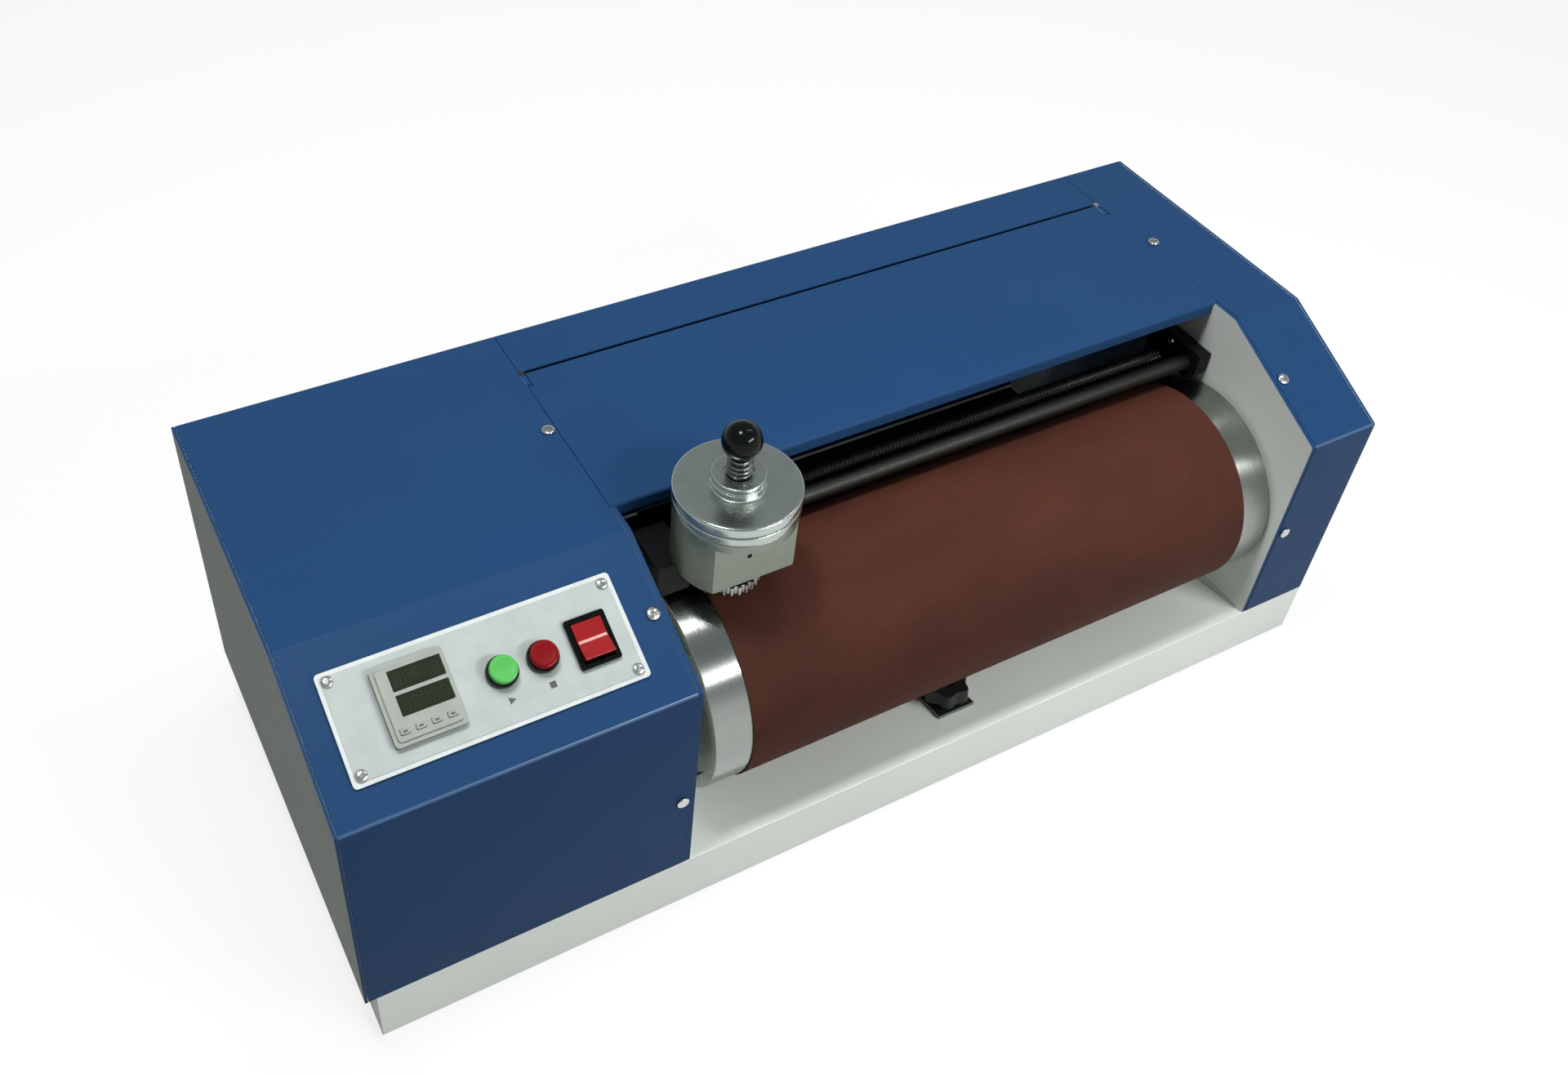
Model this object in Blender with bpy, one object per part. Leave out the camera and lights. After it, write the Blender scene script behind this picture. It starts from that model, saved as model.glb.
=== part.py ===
"""Rotary drum abrasion tester: every sub-part as its own object, in metres, +Z up.

X runs along the drum, Y to the back, and the origin is under the middle of the base.
All sizes below are in millimetres. MM turns them into metres when a mesh is made.
"""

from math import acos, atan2, cos, hypot, pi, radians, sin, sqrt, tan

import bmesh
import bpy
from mathutils import Vector

MM = 0.001
GAP = 0.3           # between pieces that touch
ROUND = 20          # sides of a round piece
SMALL = 12          # sides of a screw, a pin or its hole
WEIGHT_SIDES = 32   # sides of the holder and its weight
FINE = 44           # sides of the drum

# Housing
LENGTH = 760.0      # over both end plates
DEPTH = 298.0
BASE_HEIGHT = 45.0
TOP_ABOVE_ROD = 51.0  # top of the covers, above the guide rod
SLOPE_RISE = 45.0   # the front of the covers turns into a slope this far below their top
SLOPE_RUN = 96.0    # how far the slope goes back
COVER_SHEET = 1.5
COVER_BEND = 2.5
LEFT_COVER_WIDTH = 214.5
RIGHT_COVER_WIDTH = 58.0
END_PLATE = 2.0
WALL = 3.0          # bearing walls
FLANGE_WIDTH = 14.0
FLANGE_SHEET = 2.0
FLANGE_LIFT = 3.0
BASE_INSET_LEFT = 7.0
BASE_SHEET = 2.0
BASE_FLANGE = 18.0  # inward rim that the base rests on

# Trough in the base, under the drum
TROUGH_FRONT = 2.5  # from the base's front face
TROUGH_DEPTH = 12.0
TROUGH_BEHIND = 54.0  # past the drum's axis
TROUGH_BRUSH_GAP = 9.0  # from the foot of the slope to the brush

# Lid
LID_CLEAR = 1.2     # from the load weight to the lid's front edge
LID_GAP = 3.0       # open line along the lid's back edge
REAR_STRIP = 42.5   # fixed top behind that line
LID_LIP = 9.0
LID_AXIS_INSET = 6.0  # hinge axis, in from the lid's back edge
LID_AXIS_DROP = 5.0
EAR_REACH = 5.5     # hinge ear of each wall, forward of the axis
EAR_GAP = 1.5
PIN_RADIUS = 2.0
PIN_INSIDE = 4.0    # from the wall's inner face to the pin's head end

# Drum
DRUM_RADIUS = 75.0
DRUM_WALL = 6.0
DRUM_FRONT_GAP = 8.0  # from the housing's front plane to the drum
DRUM_BASE_GAP = 7.5  # from the base to the drum
DRUM_LEFT_GAP = 18.0  # from the bearing walls to the drum's ends
DRUM_RIGHT_GAP = 2.9
CLOTH_MARGIN = 26.0  # bare drum at each end of the cloth
CLOTH_THICK = 0.9
SHAFT_RADIUS = 12.5
SHAFT_PAST_WALL_LEFT = 66.0
SHAFT_PAST_WALL_RIGHT = 24.0
BEARING_SIDE = 62.0
BEARING_THICK = 15.0

# Drive
BELT_THICK = 2.5
BELT_WIDTH = 12.0
PULLEY_WIDTH = 15.0
DRUM_PULLEY_RADIUS = 40.0
SCREW_DRIVE_RADIUS = 16.5
MOTOR_PULLEY_RADIUS = 22.0
SCREW_PULLEY_RADIUS = 20.0
MOTOR_FORWARD = 12.5   # in front of the middle between the lead screw and the back
MOTOR_ABOVE_BASE = 55.0
GEARBOX_SIDE = 80.0
GEARBOX_LENGTH = 50.0
MOTOR_RADIUS = 37.0
MOTOR_LENGTH = 92.0
MOTOR_SHAFT_RADIUS = 7.0
BRACKET_SHEET = 3.0

# Traverse
ROD_RADIUS = 6.0
ROD_BEHIND = 35.0   # behind the drum's axis
HUB_WALL = 7.0      # round the guide rod
HUB_CLEAR = 1.4     # from the hub to the cloth
SCREW_RADIUS = 6.0
SCREW_BEHIND = 27.0  # behind the guide rod
SCREW_CLEAR = 16.9  # from the screw's axis to the cloth
NUT_WALL = 4.0      # round the lead screw
SUPPORT_THICK = 11.0
CARRIAGE_WIDTH = 50.0

# Sample holder
HOLDER_START = 60.0  # holder axis, in from the left bearing wall
HOLDER_FORWARD = 6.0  # holder axis, in front of the drum's
HOLDER_RISE = 30.2  # underside, above the cloth
HOLDER_RADIUS = 38.2
HOLDER_FLAT = 26.0  # flats, from the holder axis
FLAT_HEIGHT = 37.0
SHOULDER = 6.6      # round part above the flats
WEIGHT_THICK = 14.5
WEIGHT_LIP = 1.2    # past the holder
BOSS_RADIUS = 16.5
BOSS_HEIGHT = 9.0
SPINDLE_RADIUS = 5.0
NECK_RADIUS = 8.0
BALL_RADIUS = 12.3
BALL_RISE = 24.4    # ball's middle, above the boss
CHUCK_RADIUS = 19.0
CHUCK_TEETH = 24
CHUCK_THICK = 6.5
NOSE_RADIUS = 11.0
NOSE_HEIGHT = 7.5      # from the test piece's rim up to the teeth
COLLAR_RADIUS = 9.6
SAMPLE_RADIUS = 8.0
SAMPLE_PROUD = 2.0
SAMPLE_HEIGHT = 8.0
ARM_PLATE = 11.0
ARM_FRONT = 15.0    # arm plate, forward of the holder axis
CHEEK_LEFT = 22.0
CHEEK_RIGHT = 9.0
CHEEK_FRONT = 5.0    # cheeks' front, behind the holder axis
CHEEK_CLEAR = 4.3    # from the cheeks' front corner to the cloth

# Control panel, on the slope of the left cover
PANEL_WIDTH = 175.0
PANEL_HEIGHT = 66.0
PANEL_LEFT = 18.0   # from the left end
PANEL_UP = 20.0     # from the front bend
PANEL_SHEET = 1.6
COUNTER_WIDTH = 42.0
COUNTER_HEIGHT = 46.0
COUNTER_IN = 48.0   # middles of the fittings, from the panel's left and lower edges
COUNTER_ON = 34.5
COUNTER_PROUD = 4.5
COUNTER_DEEP = 38.0
WINDOW_WIDTH = 30.0
WINDOW_HEIGHT = 11.5
WINDOW_SHIFT = 3.3  # windows, right of the counter's middle
WINDOW_PITCH = 14.3
WINDOW_RISE = 12.5  # upper window, above the counter's middle
KEY_WIDTH = 5.4
KEY_HEIGHT = 3.0
KEY_PITCH = 9.0
KEY_DROP = 15.6     # keys, below the counter's middle
KEY_COUNT = 4
BUTTON_ON = 32.8
START_IN = 95.5
STOP_IN = 120.0
BUTTON_RADIUS = 8.2
BUTTON_RING = 9.4
BUTTON_BARREL = 6.5
BUTTON_STEM = 4.0
ROCKER_IN = 150.3
ROCKER_ON = 32.0
ROCKER_WIDTH = 25.2
ROCKER_HEIGHT = 30.5
ROCKER_TILT = radians(8.0)

# Fasteners and fittings
SCREW_HEAD = 4.2
SCREW_DOME = 2.4
SCREW_SHANK = 1.9
SCREW_INSET = 5.6   # from a cover's inner edge
TOP_SCREW_FROM_BACK = 103.0
SLOPE_SCREW_UP = 54.0
FRONT_SCREW_Z = {"left": 115.0, "right": 130.0}
INLET_FROM_LEFT = 60.0
INLET_ABOVE_BASE = 50.0
BOARD_LENGTH = 122.0
BOARD_DEPTH = 102.0
BOARD_FROM_LEFT = 18.0
BOARD_FROM_FRONT = 13.0
BOARD_RISE = 10.0
BOARD_SHEET = 1.6
KNOB_SHIFT = -20.0  # from the drum's middle
KNOB_DOWN = 34.0    # down the trough's front slope
KNOB_RADIUS = 17.0
KNOB_LOBES = 6
STUD_RADIUS = 3.0
BRUSH_WIDTH = 11.0
BRUSH_SHORTER = 4.0  # than the cloth, at each end

# Worked out from the sizes above
X_LEFT = -LENGTH / 2
X_RIGHT = LENGTH / 2
Y_FRONT = -DEPTH / 2
Y_BACK = DEPTH / 2
X_LEFT_EDGE = X_LEFT + LEFT_COVER_WIDTH      # inner edges of the two covers
X_RIGHT_EDGE = X_RIGHT - RIGHT_COVER_WIDTH
X_LEFT_WALL = X_LEFT_EDGE + GAP + WALL       # faces of the walls towards the drum
X_RIGHT_WALL = X_RIGHT_EDGE - GAP - WALL
COVER_BOTTOM = BASE_HEIGHT + GAP
DRUM_LEFT = X_LEFT_WALL + DRUM_LEFT_GAP
DRUM_RIGHT = X_RIGHT_WALL - DRUM_RIGHT_GAP
DRUM_MIDDLE = (DRUM_LEFT + DRUM_RIGHT) / 2
DRUM_Y = Y_FRONT + DRUM_FRONT_GAP + DRUM_RADIUS
DRUM_Z = BASE_HEIGHT + DRUM_BASE_GAP + DRUM_RADIUS
CLOTH_LEFT = DRUM_LEFT + CLOTH_MARGIN
CLOTH_RIGHT = DRUM_RIGHT - CLOTH_MARGIN
CLOTH_INNER = DRUM_RADIUS + GAP
CLOTH_OUTER = CLOTH_INNER + CLOTH_THICK
DRUM_TOP = DRUM_Z + CLOTH_OUTER
HUB_RADIUS = ROD_RADIUS + HUB_WALL
ROD_Y = DRUM_Y + ROD_BEHIND
ROD_Z = DRUM_Z + sqrt((CLOTH_OUTER + HUB_CLEAR + HUB_RADIUS) ** 2 - ROD_BEHIND ** 2)
SCREW_Y = ROD_Y + SCREW_BEHIND
SCREW_Z = DRUM_Z + sqrt((CLOTH_OUTER + SCREW_CLEAR) ** 2 - (SCREW_Y - DRUM_Y) ** 2)
NUT_REACH = SCREW_RADIUS + NUT_WALL
HEIGHT = ROD_Z + TOP_ABOVE_ROD
BEND_HEIGHT = HEIGHT - SLOPE_RISE
SLOPE_ANGLE = atan2(SLOPE_RISE, SLOPE_RUN)
HOLDER_X = X_LEFT_WALL + HOLDER_START
HOLDER_Y = DRUM_Y - HOLDER_FORWARD
HOLDER_BOTTOM = DRUM_TOP + HOLDER_RISE
FLAT_TOP = HOLDER_BOTTOM + FLAT_HEIGHT
WEIGHT_BOTTOM = FLAT_TOP + SHOULDER
WEIGHT_TOP = WEIGHT_BOTTOM + WEIGHT_THICK
WEIGHT_RADIUS = HOLDER_RADIUS + WEIGHT_LIP
BOSS_TOP = WEIGHT_TOP + BOSS_HEIGHT
BALL_Z = BOSS_TOP + BALL_RISE
SAMPLE_BOTTOM = DRUM_TOP + GAP
CHUCK_BOTTOM = SAMPLE_BOTTOM + SAMPLE_PROUD
PLATE_TOP = HOLDER_BOTTOM - GAP
PLATE_BOTTOM = PLATE_TOP - ARM_PLATE
LID_FRONT_Y = HOLDER_Y + WEIGHT_RADIUS + LID_CLEAR
LID_BACK_Y = Y_BACK - REAR_STRIP - LID_GAP
SLOPE_FOOT_Y = DRUM_Y - BRUSH_WIDTH / 2 - TROUGH_BRUSH_GAP
TROUGH_RUN = SLOPE_FOOT_Y - Y_FRONT - TROUGH_FRONT
TROUGH_ANGLE = -atan2(TROUGH_DEPTH, TROUGH_RUN)
TROUGH_FLOOR = BASE_HEIGHT - TROUGH_DEPTH
TROUGH_BACK_Y = DRUM_Y + TROUGH_BEHIND
KNOB_X = DRUM_MIDDLE + KNOB_SHIFT
MOTOR_Y = (SCREW_Y + Y_BACK) / 2 - MOTOR_FORWARD
MOTOR_Z = BASE_HEIGHT + MOTOR_ABOVE_BASE
X_MAIN_BELT = X_LEFT_EDGE - GAP - FLANGE_WIDTH - BEARING_THICK - 2.0 - PULLEY_WIDTH
X_SCREW_BELT = X_MAIN_BELT - PULLEY_WIDTH
X_BRACKET = X_MAIN_BELT - 3.0 - BRACKET_SHEET
X_PANEL = X_LEFT + PANEL_LEFT                # the panel's left edge
COUNTER_X = X_PANEL + COUNTER_IN
COUNTER_UP = PANEL_UP + COUNTER_ON
WINDOW_X = COUNTER_X + WINDOW_SHIFT
WINDOW_UP = (COUNTER_UP + WINDOW_RISE, COUNTER_UP + WINDOW_RISE - WINDOW_PITCH)
KEY_UP = COUNTER_UP - KEY_DROP
BUTTON_UP = PANEL_UP + BUTTON_ON
START_X = X_PANEL + START_IN
STOP_X = X_PANEL + STOP_IN
ROCKER_X = X_PANEL + ROCKER_IN
ROCKER_UP = PANEL_UP + ROCKER_ON
INLET_X = X_LEFT + INLET_FROM_LEFT
INLET_Z = BASE_HEIGHT + INLET_ABOVE_BASE
TOP_SCREW_Y = Y_BACK - TOP_SCREW_FROM_BACK


# ---- Materials -------------------------------------------------------------------------

def material(name, colour, roughness, metallic=0.0):
    made = bpy.data.materials.new(name)
    made.use_nodes = True
    shader = made.node_tree.nodes["Principled BSDF"]
    shader.inputs["Base Color"].default_value = (*colour, 1.0)
    shader.inputs["Roughness"].default_value = roughness
    shader.inputs["Metallic"].default_value = metallic
    return made


def clear_scene():
    for found in list(bpy.data.objects):
        bpy.data.objects.remove(found, do_unlink=True)


clear_scene()
BLUE = material("blue_paint", (0.025, 0.07, 0.19), 0.45)
GREY = material("light_grey_paint", (0.40, 0.43, 0.39), 0.5)
STEEL = material("bright_steel", (0.62, 0.63, 0.62), 0.25, 1.0)
ALUMINIUM = material("aluminium", (0.72, 0.73, 0.72), 0.3, 1.0)
BLACK = material("black_metal", (0.02, 0.02, 0.02), 0.4)
PLASTIC = material("black_plastic", (0.015, 0.015, 0.015), 0.3)
CLOTH = material("abrasive_cloth", (0.07, 0.022, 0.015), 0.9)
RUBBER = material("rubber", (0.02, 0.02, 0.02), 0.8)
PANEL = material("panel_grey", (0.62, 0.63, 0.6), 0.4)
WINDOW = material("display_window", (0.03, 0.04, 0.025), 0.15)
GREEN = material("green_plastic", (0.05, 0.55, 0.10), 0.35)
RED = material("red_plastic", (0.45, 0.01, 0.03), 0.35)
BRISTLE = material("bristles", (0.03, 0.03, 0.03), 0.9)


# ---- Shapes ----------------------------------------------------------------------------

AXES = {"X": (1, 2, 0), "Y": (0, 2, 1), "Z": (0, 1, 2)}


def point(axis, across, up, along):
    """A point given in the plane across an axis, and along it."""
    place = [0.0, 0.0, 0.0]
    first, second, third = AXES[axis]
    place[first], place[second], place[third] = across, up, along
    return place


def add_prism(bm, outline, start, end, axis="X"):
    """A closed outline in the plane across the axis, swept from start to end."""
    low = [bm.verts.new(point(axis, a, b, start)) for a, b in outline]
    high = [bm.verts.new(point(axis, a, b, end)) for a, b in outline]
    bm.faces.new(low)
    bm.faces.new(high)
    for i in range(len(outline)):
        j = (i + 1) % len(outline)
        bm.faces.new((low[i], low[j], high[j], high[i]))


def add_band(bm, inner, outer, start, end, axis="X"):
    """A closed band between two loops with equal numbers of points."""
    loops = [[bm.verts.new(point(axis, a, b, at)) for a, b in loop]
             for loop, at in ((inner, start), (outer, start), (outer, end), (inner, end))]
    for k in range(4):
        for i in range(len(inner)):
            j = (i + 1) % len(inner)
            one, two = loops[k], loops[(k + 1) % 4]
            bm.faces.new((one[i], one[j], two[j], two[i]))


def add_box(bm, x0, x1, y0, y1, z0, z1):
    add_prism(bm, [(y0, z0), (y1, z0), (y1, z1), (y0, z1)], x0, x1)


def circle(centre, radius, sides=ROUND, turn=0.0):
    steps = [turn + 2 * pi * i / sides for i in range(sides)]
    return [(centre[0] + radius * cos(a), centre[1] + radius * sin(a)) for a in steps]


def add_cylinder(bm, centre, radius, start, end, axis="X", sides=ROUND):
    add_prism(bm, circle(centre, radius, sides), start, end, axis)


def add_turned(bm, profile, centre, axis="X", sides=ROUND, closed=False):
    """A profile of (radius, along) points turned round an axis. A closed one makes a ring."""
    rings = []
    for radius, along in profile:
        if radius == 0:
            rings.append([bm.verts.new(point(axis, *centre, along))])
        else:
            rings.append([bm.verts.new(point(axis, a, b, along))
                          for a, b in circle(centre, radius, sides)])
    pairs = list(zip(rings, rings[1:]))
    if closed:
        pairs.append((rings[-1], rings[0]))
    for one, two in pairs:
        for i in range(sides):
            j = (i + 1) % sides
            corners = [one[i % len(one)], one[j % len(one)], two[j % len(two)], two[i % len(two)]]
            bm.faces.new(list(dict.fromkeys(corners)))


def finish(name, bm, origin=(0, 0, 0), parent=None):
    """Makes the object, with its origin at a point given in the same frame as its mesh."""
    bmesh.ops.translate(bm, vec=-Vector(origin), verts=bm.verts)
    bmesh.ops.scale(bm, vec=(MM, MM, MM), verts=bm.verts)
    bmesh.ops.recalc_face_normals(bm, faces=bm.faces)
    mesh = bpy.data.meshes.new(name)
    bm.to_mesh(mesh)
    bm.free()
    made = bpy.data.objects.new(name, mesh)
    made.location = Vector(origin) * MM
    made.parent = parent
    bpy.context.scene.collection.objects.link(made)
    return made


def piece(name, bm, mat, origin=(0, 0, 0), parent=None):
    made = finish(name, bm, origin, parent)
    made.data.materials.append(mat)
    made.data.shade_smooth()
    made.data.set_sharp_from_angle(angle=radians(30))
    return made


def tool(name, bm, parent=None):
    """A cutter or a shape to be added: not a piece of its own."""
    made = finish(name, bm, parent=parent)
    made.hide_render = True
    made.display_type = "WIRE"
    return made


def combine(target, other, operation):
    step = target.modifiers.new(other.name, "BOOLEAN")
    step.operation = operation
    step.solver = "EXACT"
    step.object = other


def cut(target, *others):
    for other in others:
        combine(target, other, "DIFFERENCE")


def add_to(target, *others):
    for other in others:
        combine(target, other, "UNION")


def box_tool(name, *sides, parent=None):
    bm = bmesh.new()
    add_box(bm, *sides)
    return tool(name, bm, parent)


def bore_tool(name, centre, radius, start, end, axis="X", sides=ROUND, parent=None):
    bm = bmesh.new()
    add_cylinder(bm, centre, radius, start, end, axis, sides)
    return tool(name, bm, parent)


def empty(name, location, tilt):
    made = bpy.data.objects.new(name, None)
    made.location = Vector(location) * MM
    made.rotation_euler = (tilt, 0.0, 0.0)
    bpy.context.scene.collection.objects.link(made)
    return made


# ---- Sheet metal -----------------------------------------------------------------------

def side_profile():
    """The housing's outer face, from the front bottom over the top to the back bottom."""
    return [(Y_FRONT, COVER_BOTTOM), (Y_FRONT, BEND_HEIGHT), (Y_FRONT + SLOPE_RUN, HEIGHT),
            (Y_BACK, HEIGHT), (Y_BACK, COVER_BOTTOM)]


def inset(points, distance):
    """An open profile moved inwards, its two ends kept level."""
    lines = []
    for (y0, z0), (y1, z1) in zip(points, points[1:]):
        size = hypot(y1 - y0, z1 - z0)
        ny, nz = (z1 - z0) / size, -(y1 - y0) / size
        lines.append(((y0 + ny * distance, z0 + nz * distance), ((y1 - y0) / size, (z1 - z0) / size)))
    moved = [lines[0][0]]
    for (p, d), (q, e) in zip(lines, lines[1:]):
        cross = d[0] * e[1] - d[1] * e[0]
        t = ((q[0] - p[0]) * e[1] - (q[1] - p[1]) * e[0]) / cross
        moved.append((p[0] + d[0] * t, p[1] + d[1] * t))
    (y, z), (dy, dz) = lines[-1]
    size = hypot(points[-1][0] - points[-2][0], points[-1][1] - points[-2][1])
    moved.append((y + dy * size, z + dz * size))
    return moved


def bend(points, radius, steps=3):
    """An open profile with each corner rounded."""
    rounded = [points[0]]
    for before, corner, after in zip(points, points[1:], points[2:]):
        a = (Vector(before) - Vector(corner)).normalized()
        b = (Vector(after) - Vector(corner)).normalized()
        half = acos(max(-1.0, min(1.0, a.dot(b)))) / 2
        centre = Vector(corner) + (a + b).normalized() * (radius / sin(half))
        start = (Vector(corner) + a * (radius / tan(half)) - centre).normalized()
        stop = (Vector(corner) + b * (radius / tan(half)) - centre).normalized()
        for i in range(steps + 1):
            rounded.append(tuple(centre + start.slerp(stop, i / steps) * radius))
    rounded.append(points[-1])
    return rounded


def sheet_outline(points, thickness, radius):
    """The closed outline of a bent sheet whose outer face follows the points."""
    outer = bend(points, radius)
    inner = bend(inset(points, thickness), max(radius - thickness, 0.4))
    return outer + inner[::-1]


def flange_outline():
    """A flange that lies against the inside of the covers, clear of the base."""
    points = inset(side_profile(), COVER_SHEET + GAP)
    for end in (0, -1):
        points[end] = (points[end][0], COVER_BOTTOM + FLANGE_LIFT)
    return sheet_outline(points, FLANGE_SHEET, COVER_BEND)


def make_base():
    x0, x1 = X_LEFT + BASE_INSET_LEFT, X_RIGHT
    t = BASE_SHEET
    bm = bmesh.new()
    add_box(bm, x0, x1, Y_FRONT, Y_BACK, 0, BASE_HEIGHT)
    base = piece("base_tray", bm, GREY)

    def trough(name, grow):
        """The trough's space, grown by the sheet's thickness for the cavity below it."""
        front, back = Y_FRONT + TROUGH_FRONT, TROUGH_BACK_Y + grow
        floor = TROUGH_FLOOR - grow
        top = BASE_HEIGHT + 5.0
        outline = [(front, BASE_HEIGHT - grow), (front, top), (back, top), (back, floor),
                   (SLOPE_FOOT_Y, floor)]
        bm = bmesh.new()
        add_prism(bm, outline, X_LEFT_WALL + GAP - grow, X_RIGHT_WALL - GAP + grow)
        return tool(name, bm)

    cavity = box_tool("base_cavity", x0 + t, x1 - t, Y_FRONT + t, Y_BACK - t, t, BASE_HEIGHT - t)
    cut(cavity, trough("trough_underside", t))
    opening = box_tool("base_opening", x0 + BASE_FLANGE, x1 - BASE_FLANGE,
                       Y_FRONT + BASE_FLANGE, Y_BACK - BASE_FLANGE, -5.0, t + 1.0)
    cut(base, trough("trough_space", 0.0), cavity, opening)
    return base


def make_cover(name, x0, x1):
    bm = bmesh.new()
    add_prism(bm, sheet_outline(side_profile(), COVER_SHEET, COVER_BEND), x0, x1)
    return piece(name, bm, BLUE)


def flanged_plate(name, mat, outline, x0, x1, flange_x0, flange_x1):
    """A flat plate with a flange along its edge, for the cover screws."""
    bm = bmesh.new()
    add_prism(bm, outline, x0, x1)
    plate = piece(name, bm, mat)
    bm = bmesh.new()
    add_prism(bm, flange_outline(), flange_x0, flange_x1)
    add_to(plate, tool(name + "_flange", bm))
    return plate


def make_end_plates():
    outline = bend(side_profile(), COVER_BEND)
    for side, x, inward in (("left", X_LEFT, 1), ("right", X_RIGHT, -1)):
        face = x + inward * END_PLATE
        reach = face + inward * FLANGE_WIDTH
        flanged_plate(side + "_end_plate", GREY, outline, min(x, face), max(x, face),
                      min(face - inward * 1.0, reach), max(face - inward * 1.0, reach))


def wall_outline():
    """Flush with the covers in front of the lid and at its hinge, and lower under the lid."""
    step = COVER_SHEET + 2 * GAP
    front = bend(inset(side_profile(), GAP)[:4], COVER_BEND)[:-1]
    top, low = HEIGHT - GAP, HEIGHT - step
    ear_front, ear_back = lid_axis()[0] - EAR_REACH, LID_BACK_Y + LID_GAP - GAP
    return front + [(LID_FRONT_Y - 0.5, top), (LID_FRONT_Y - 0.5, low), (ear_front, low),
                    (ear_front, top), (ear_back, top), (ear_back, low),
                    (Y_BACK - step, low), (Y_BACK - step, COVER_BOTTOM)]


def make_walls():
    for side, face, out in (("left", X_LEFT_WALL, -1), ("right", X_RIGHT_WALL, 1)):
        back = face + out * WALL
        reach = back + out * FLANGE_WIDTH
        inner = back - out * 1.0
        wall = flanged_plate(side + "_bearing_wall", GREY, wall_outline(), min(face, back),
                             max(face, back), min(inner, reach), max(inner, reach))
        x0, x1 = min(face, back) - 1.0, max(face, back) + 1.0
        cut(wall, bore_tool(side + "_shaft_hole", (DRUM_Y, DRUM_Z), SHAFT_RADIUS + 5.0, x0, x1),
            bore_tool(side + "_pin_hole", lid_axis(), PIN_RADIUS + GAP, x0, x1, sides=SMALL))
        if side == "left":
            cut(wall, bore_tool("screw_hole", (SCREW_Y, SCREW_Z), SCREW_RADIUS + 2.0, x0, x1))


def make_rear_cover():
    front = LID_BACK_Y + LID_GAP
    bm = bmesh.new()
    points = [(front, HEIGHT), (Y_BACK, HEIGHT), (Y_BACK, COVER_BOTTOM)]
    add_prism(bm, sheet_outline(points, COVER_SHEET, COVER_BEND), X_LEFT_EDGE + GAP, X_RIGHT_EDGE - GAP)
    piece("rear_cover", bm, BLUE)


# ---- Lid -------------------------------------------------------------------------------

def lid_axis():
    return (LID_BACK_Y - LID_AXIS_INSET, HEIGHT - LID_AXIS_DROP)


def make_lid():
    """A bent sheet with a front lip, two side lips and a pin through each wall."""
    y, z = lid_axis()
    x0, x1 = X_LEFT_EDGE + GAP, X_RIGHT_EDGE - GAP
    bottom = HEIGHT - LID_LIP
    bm = bmesh.new()
    points = [(LID_FRONT_Y, bottom), (LID_FRONT_Y, HEIGHT), (LID_BACK_Y, HEIGHT)]
    add_prism(bm, sheet_outline(points, COVER_SHEET, COVER_BEND), x0, x1)
    lid = piece("lid", bm, BLUE, origin=(0, y, z))
    # The lip and the edge behind the axis lie between the walls, so they stop short of them.
    lip_y = LID_FRONT_Y + COVER_SHEET + COVER_BEND
    under = HEIGHT - COVER_SHEET - GAP
    for side, wall, inward in (("left", X_LEFT_WALL, 1), ("right", X_RIGHT_WALL, -1)):
        a, b = wall + inward * 0.6, wall + inward * 2.1
        edge = x0 - 1.0 if inward > 0 else x1 + 1.0
        cut(lid, box_tool(side + "_lip_end", min(edge, a), max(edge, a),
                          LID_FRONT_Y - 1.0, lip_y, bottom - 1.0, under),
            box_tool(side + "_ear_room", min(edge, a), max(edge, a), y - EAR_REACH - EAR_GAP,
                     LID_BACK_Y + 1.0, bottom - 1.0, HEIGHT + 1.0))
        bm = bmesh.new()
        back = y + 4.0
        outline = [(LID_FRONT_Y + 0.5, bottom), (back, bottom), (back, HEIGHT - 0.5),
                   (LID_FRONT_Y + 2.0, HEIGHT - 0.5)]
        add_prism(bm, outline, min(a, b), max(a, b))
        add_to(lid, tool(side + "_lip", bm))
        cut(lid, bore_tool(side + "_lip_hole", (y, z), PIN_RADIUS + GAP,
                           min(a, b) - 1.0, max(a, b) + 1.0, sides=SMALL))
        start = wall + inward * PIN_INSIDE
        end = wall - inward * (WALL - GAP)
        bm = bmesh.new()
        add_cylinder(bm, (y, z), PIN_RADIUS, min(start, end), max(start, end), sides=SMALL)
        piece("lid_hinge_pin_" + side, bm, STEEL, origin=(start, y, z))


# ---- Screws ----------------------------------------------------------------------------

def screw_mesh(bm, reach):
    """A domed screw along +Z, its head standing on Z = GAP."""
    dome = [(SCREW_HEAD * cos(a), GAP + 0.6 + (SCREW_DOME - 0.6 - GAP) * sin(a))
            for a in (0.0, radians(50))]
    profile = [(0, -reach), (SCREW_SHANK, -reach), (SCREW_SHANK, GAP), (SCREW_HEAD, GAP)]
    add_turned(bm, profile + dome + [(0, SCREW_DOME)], (0, 0), "Z", sides=SMALL)


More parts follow.
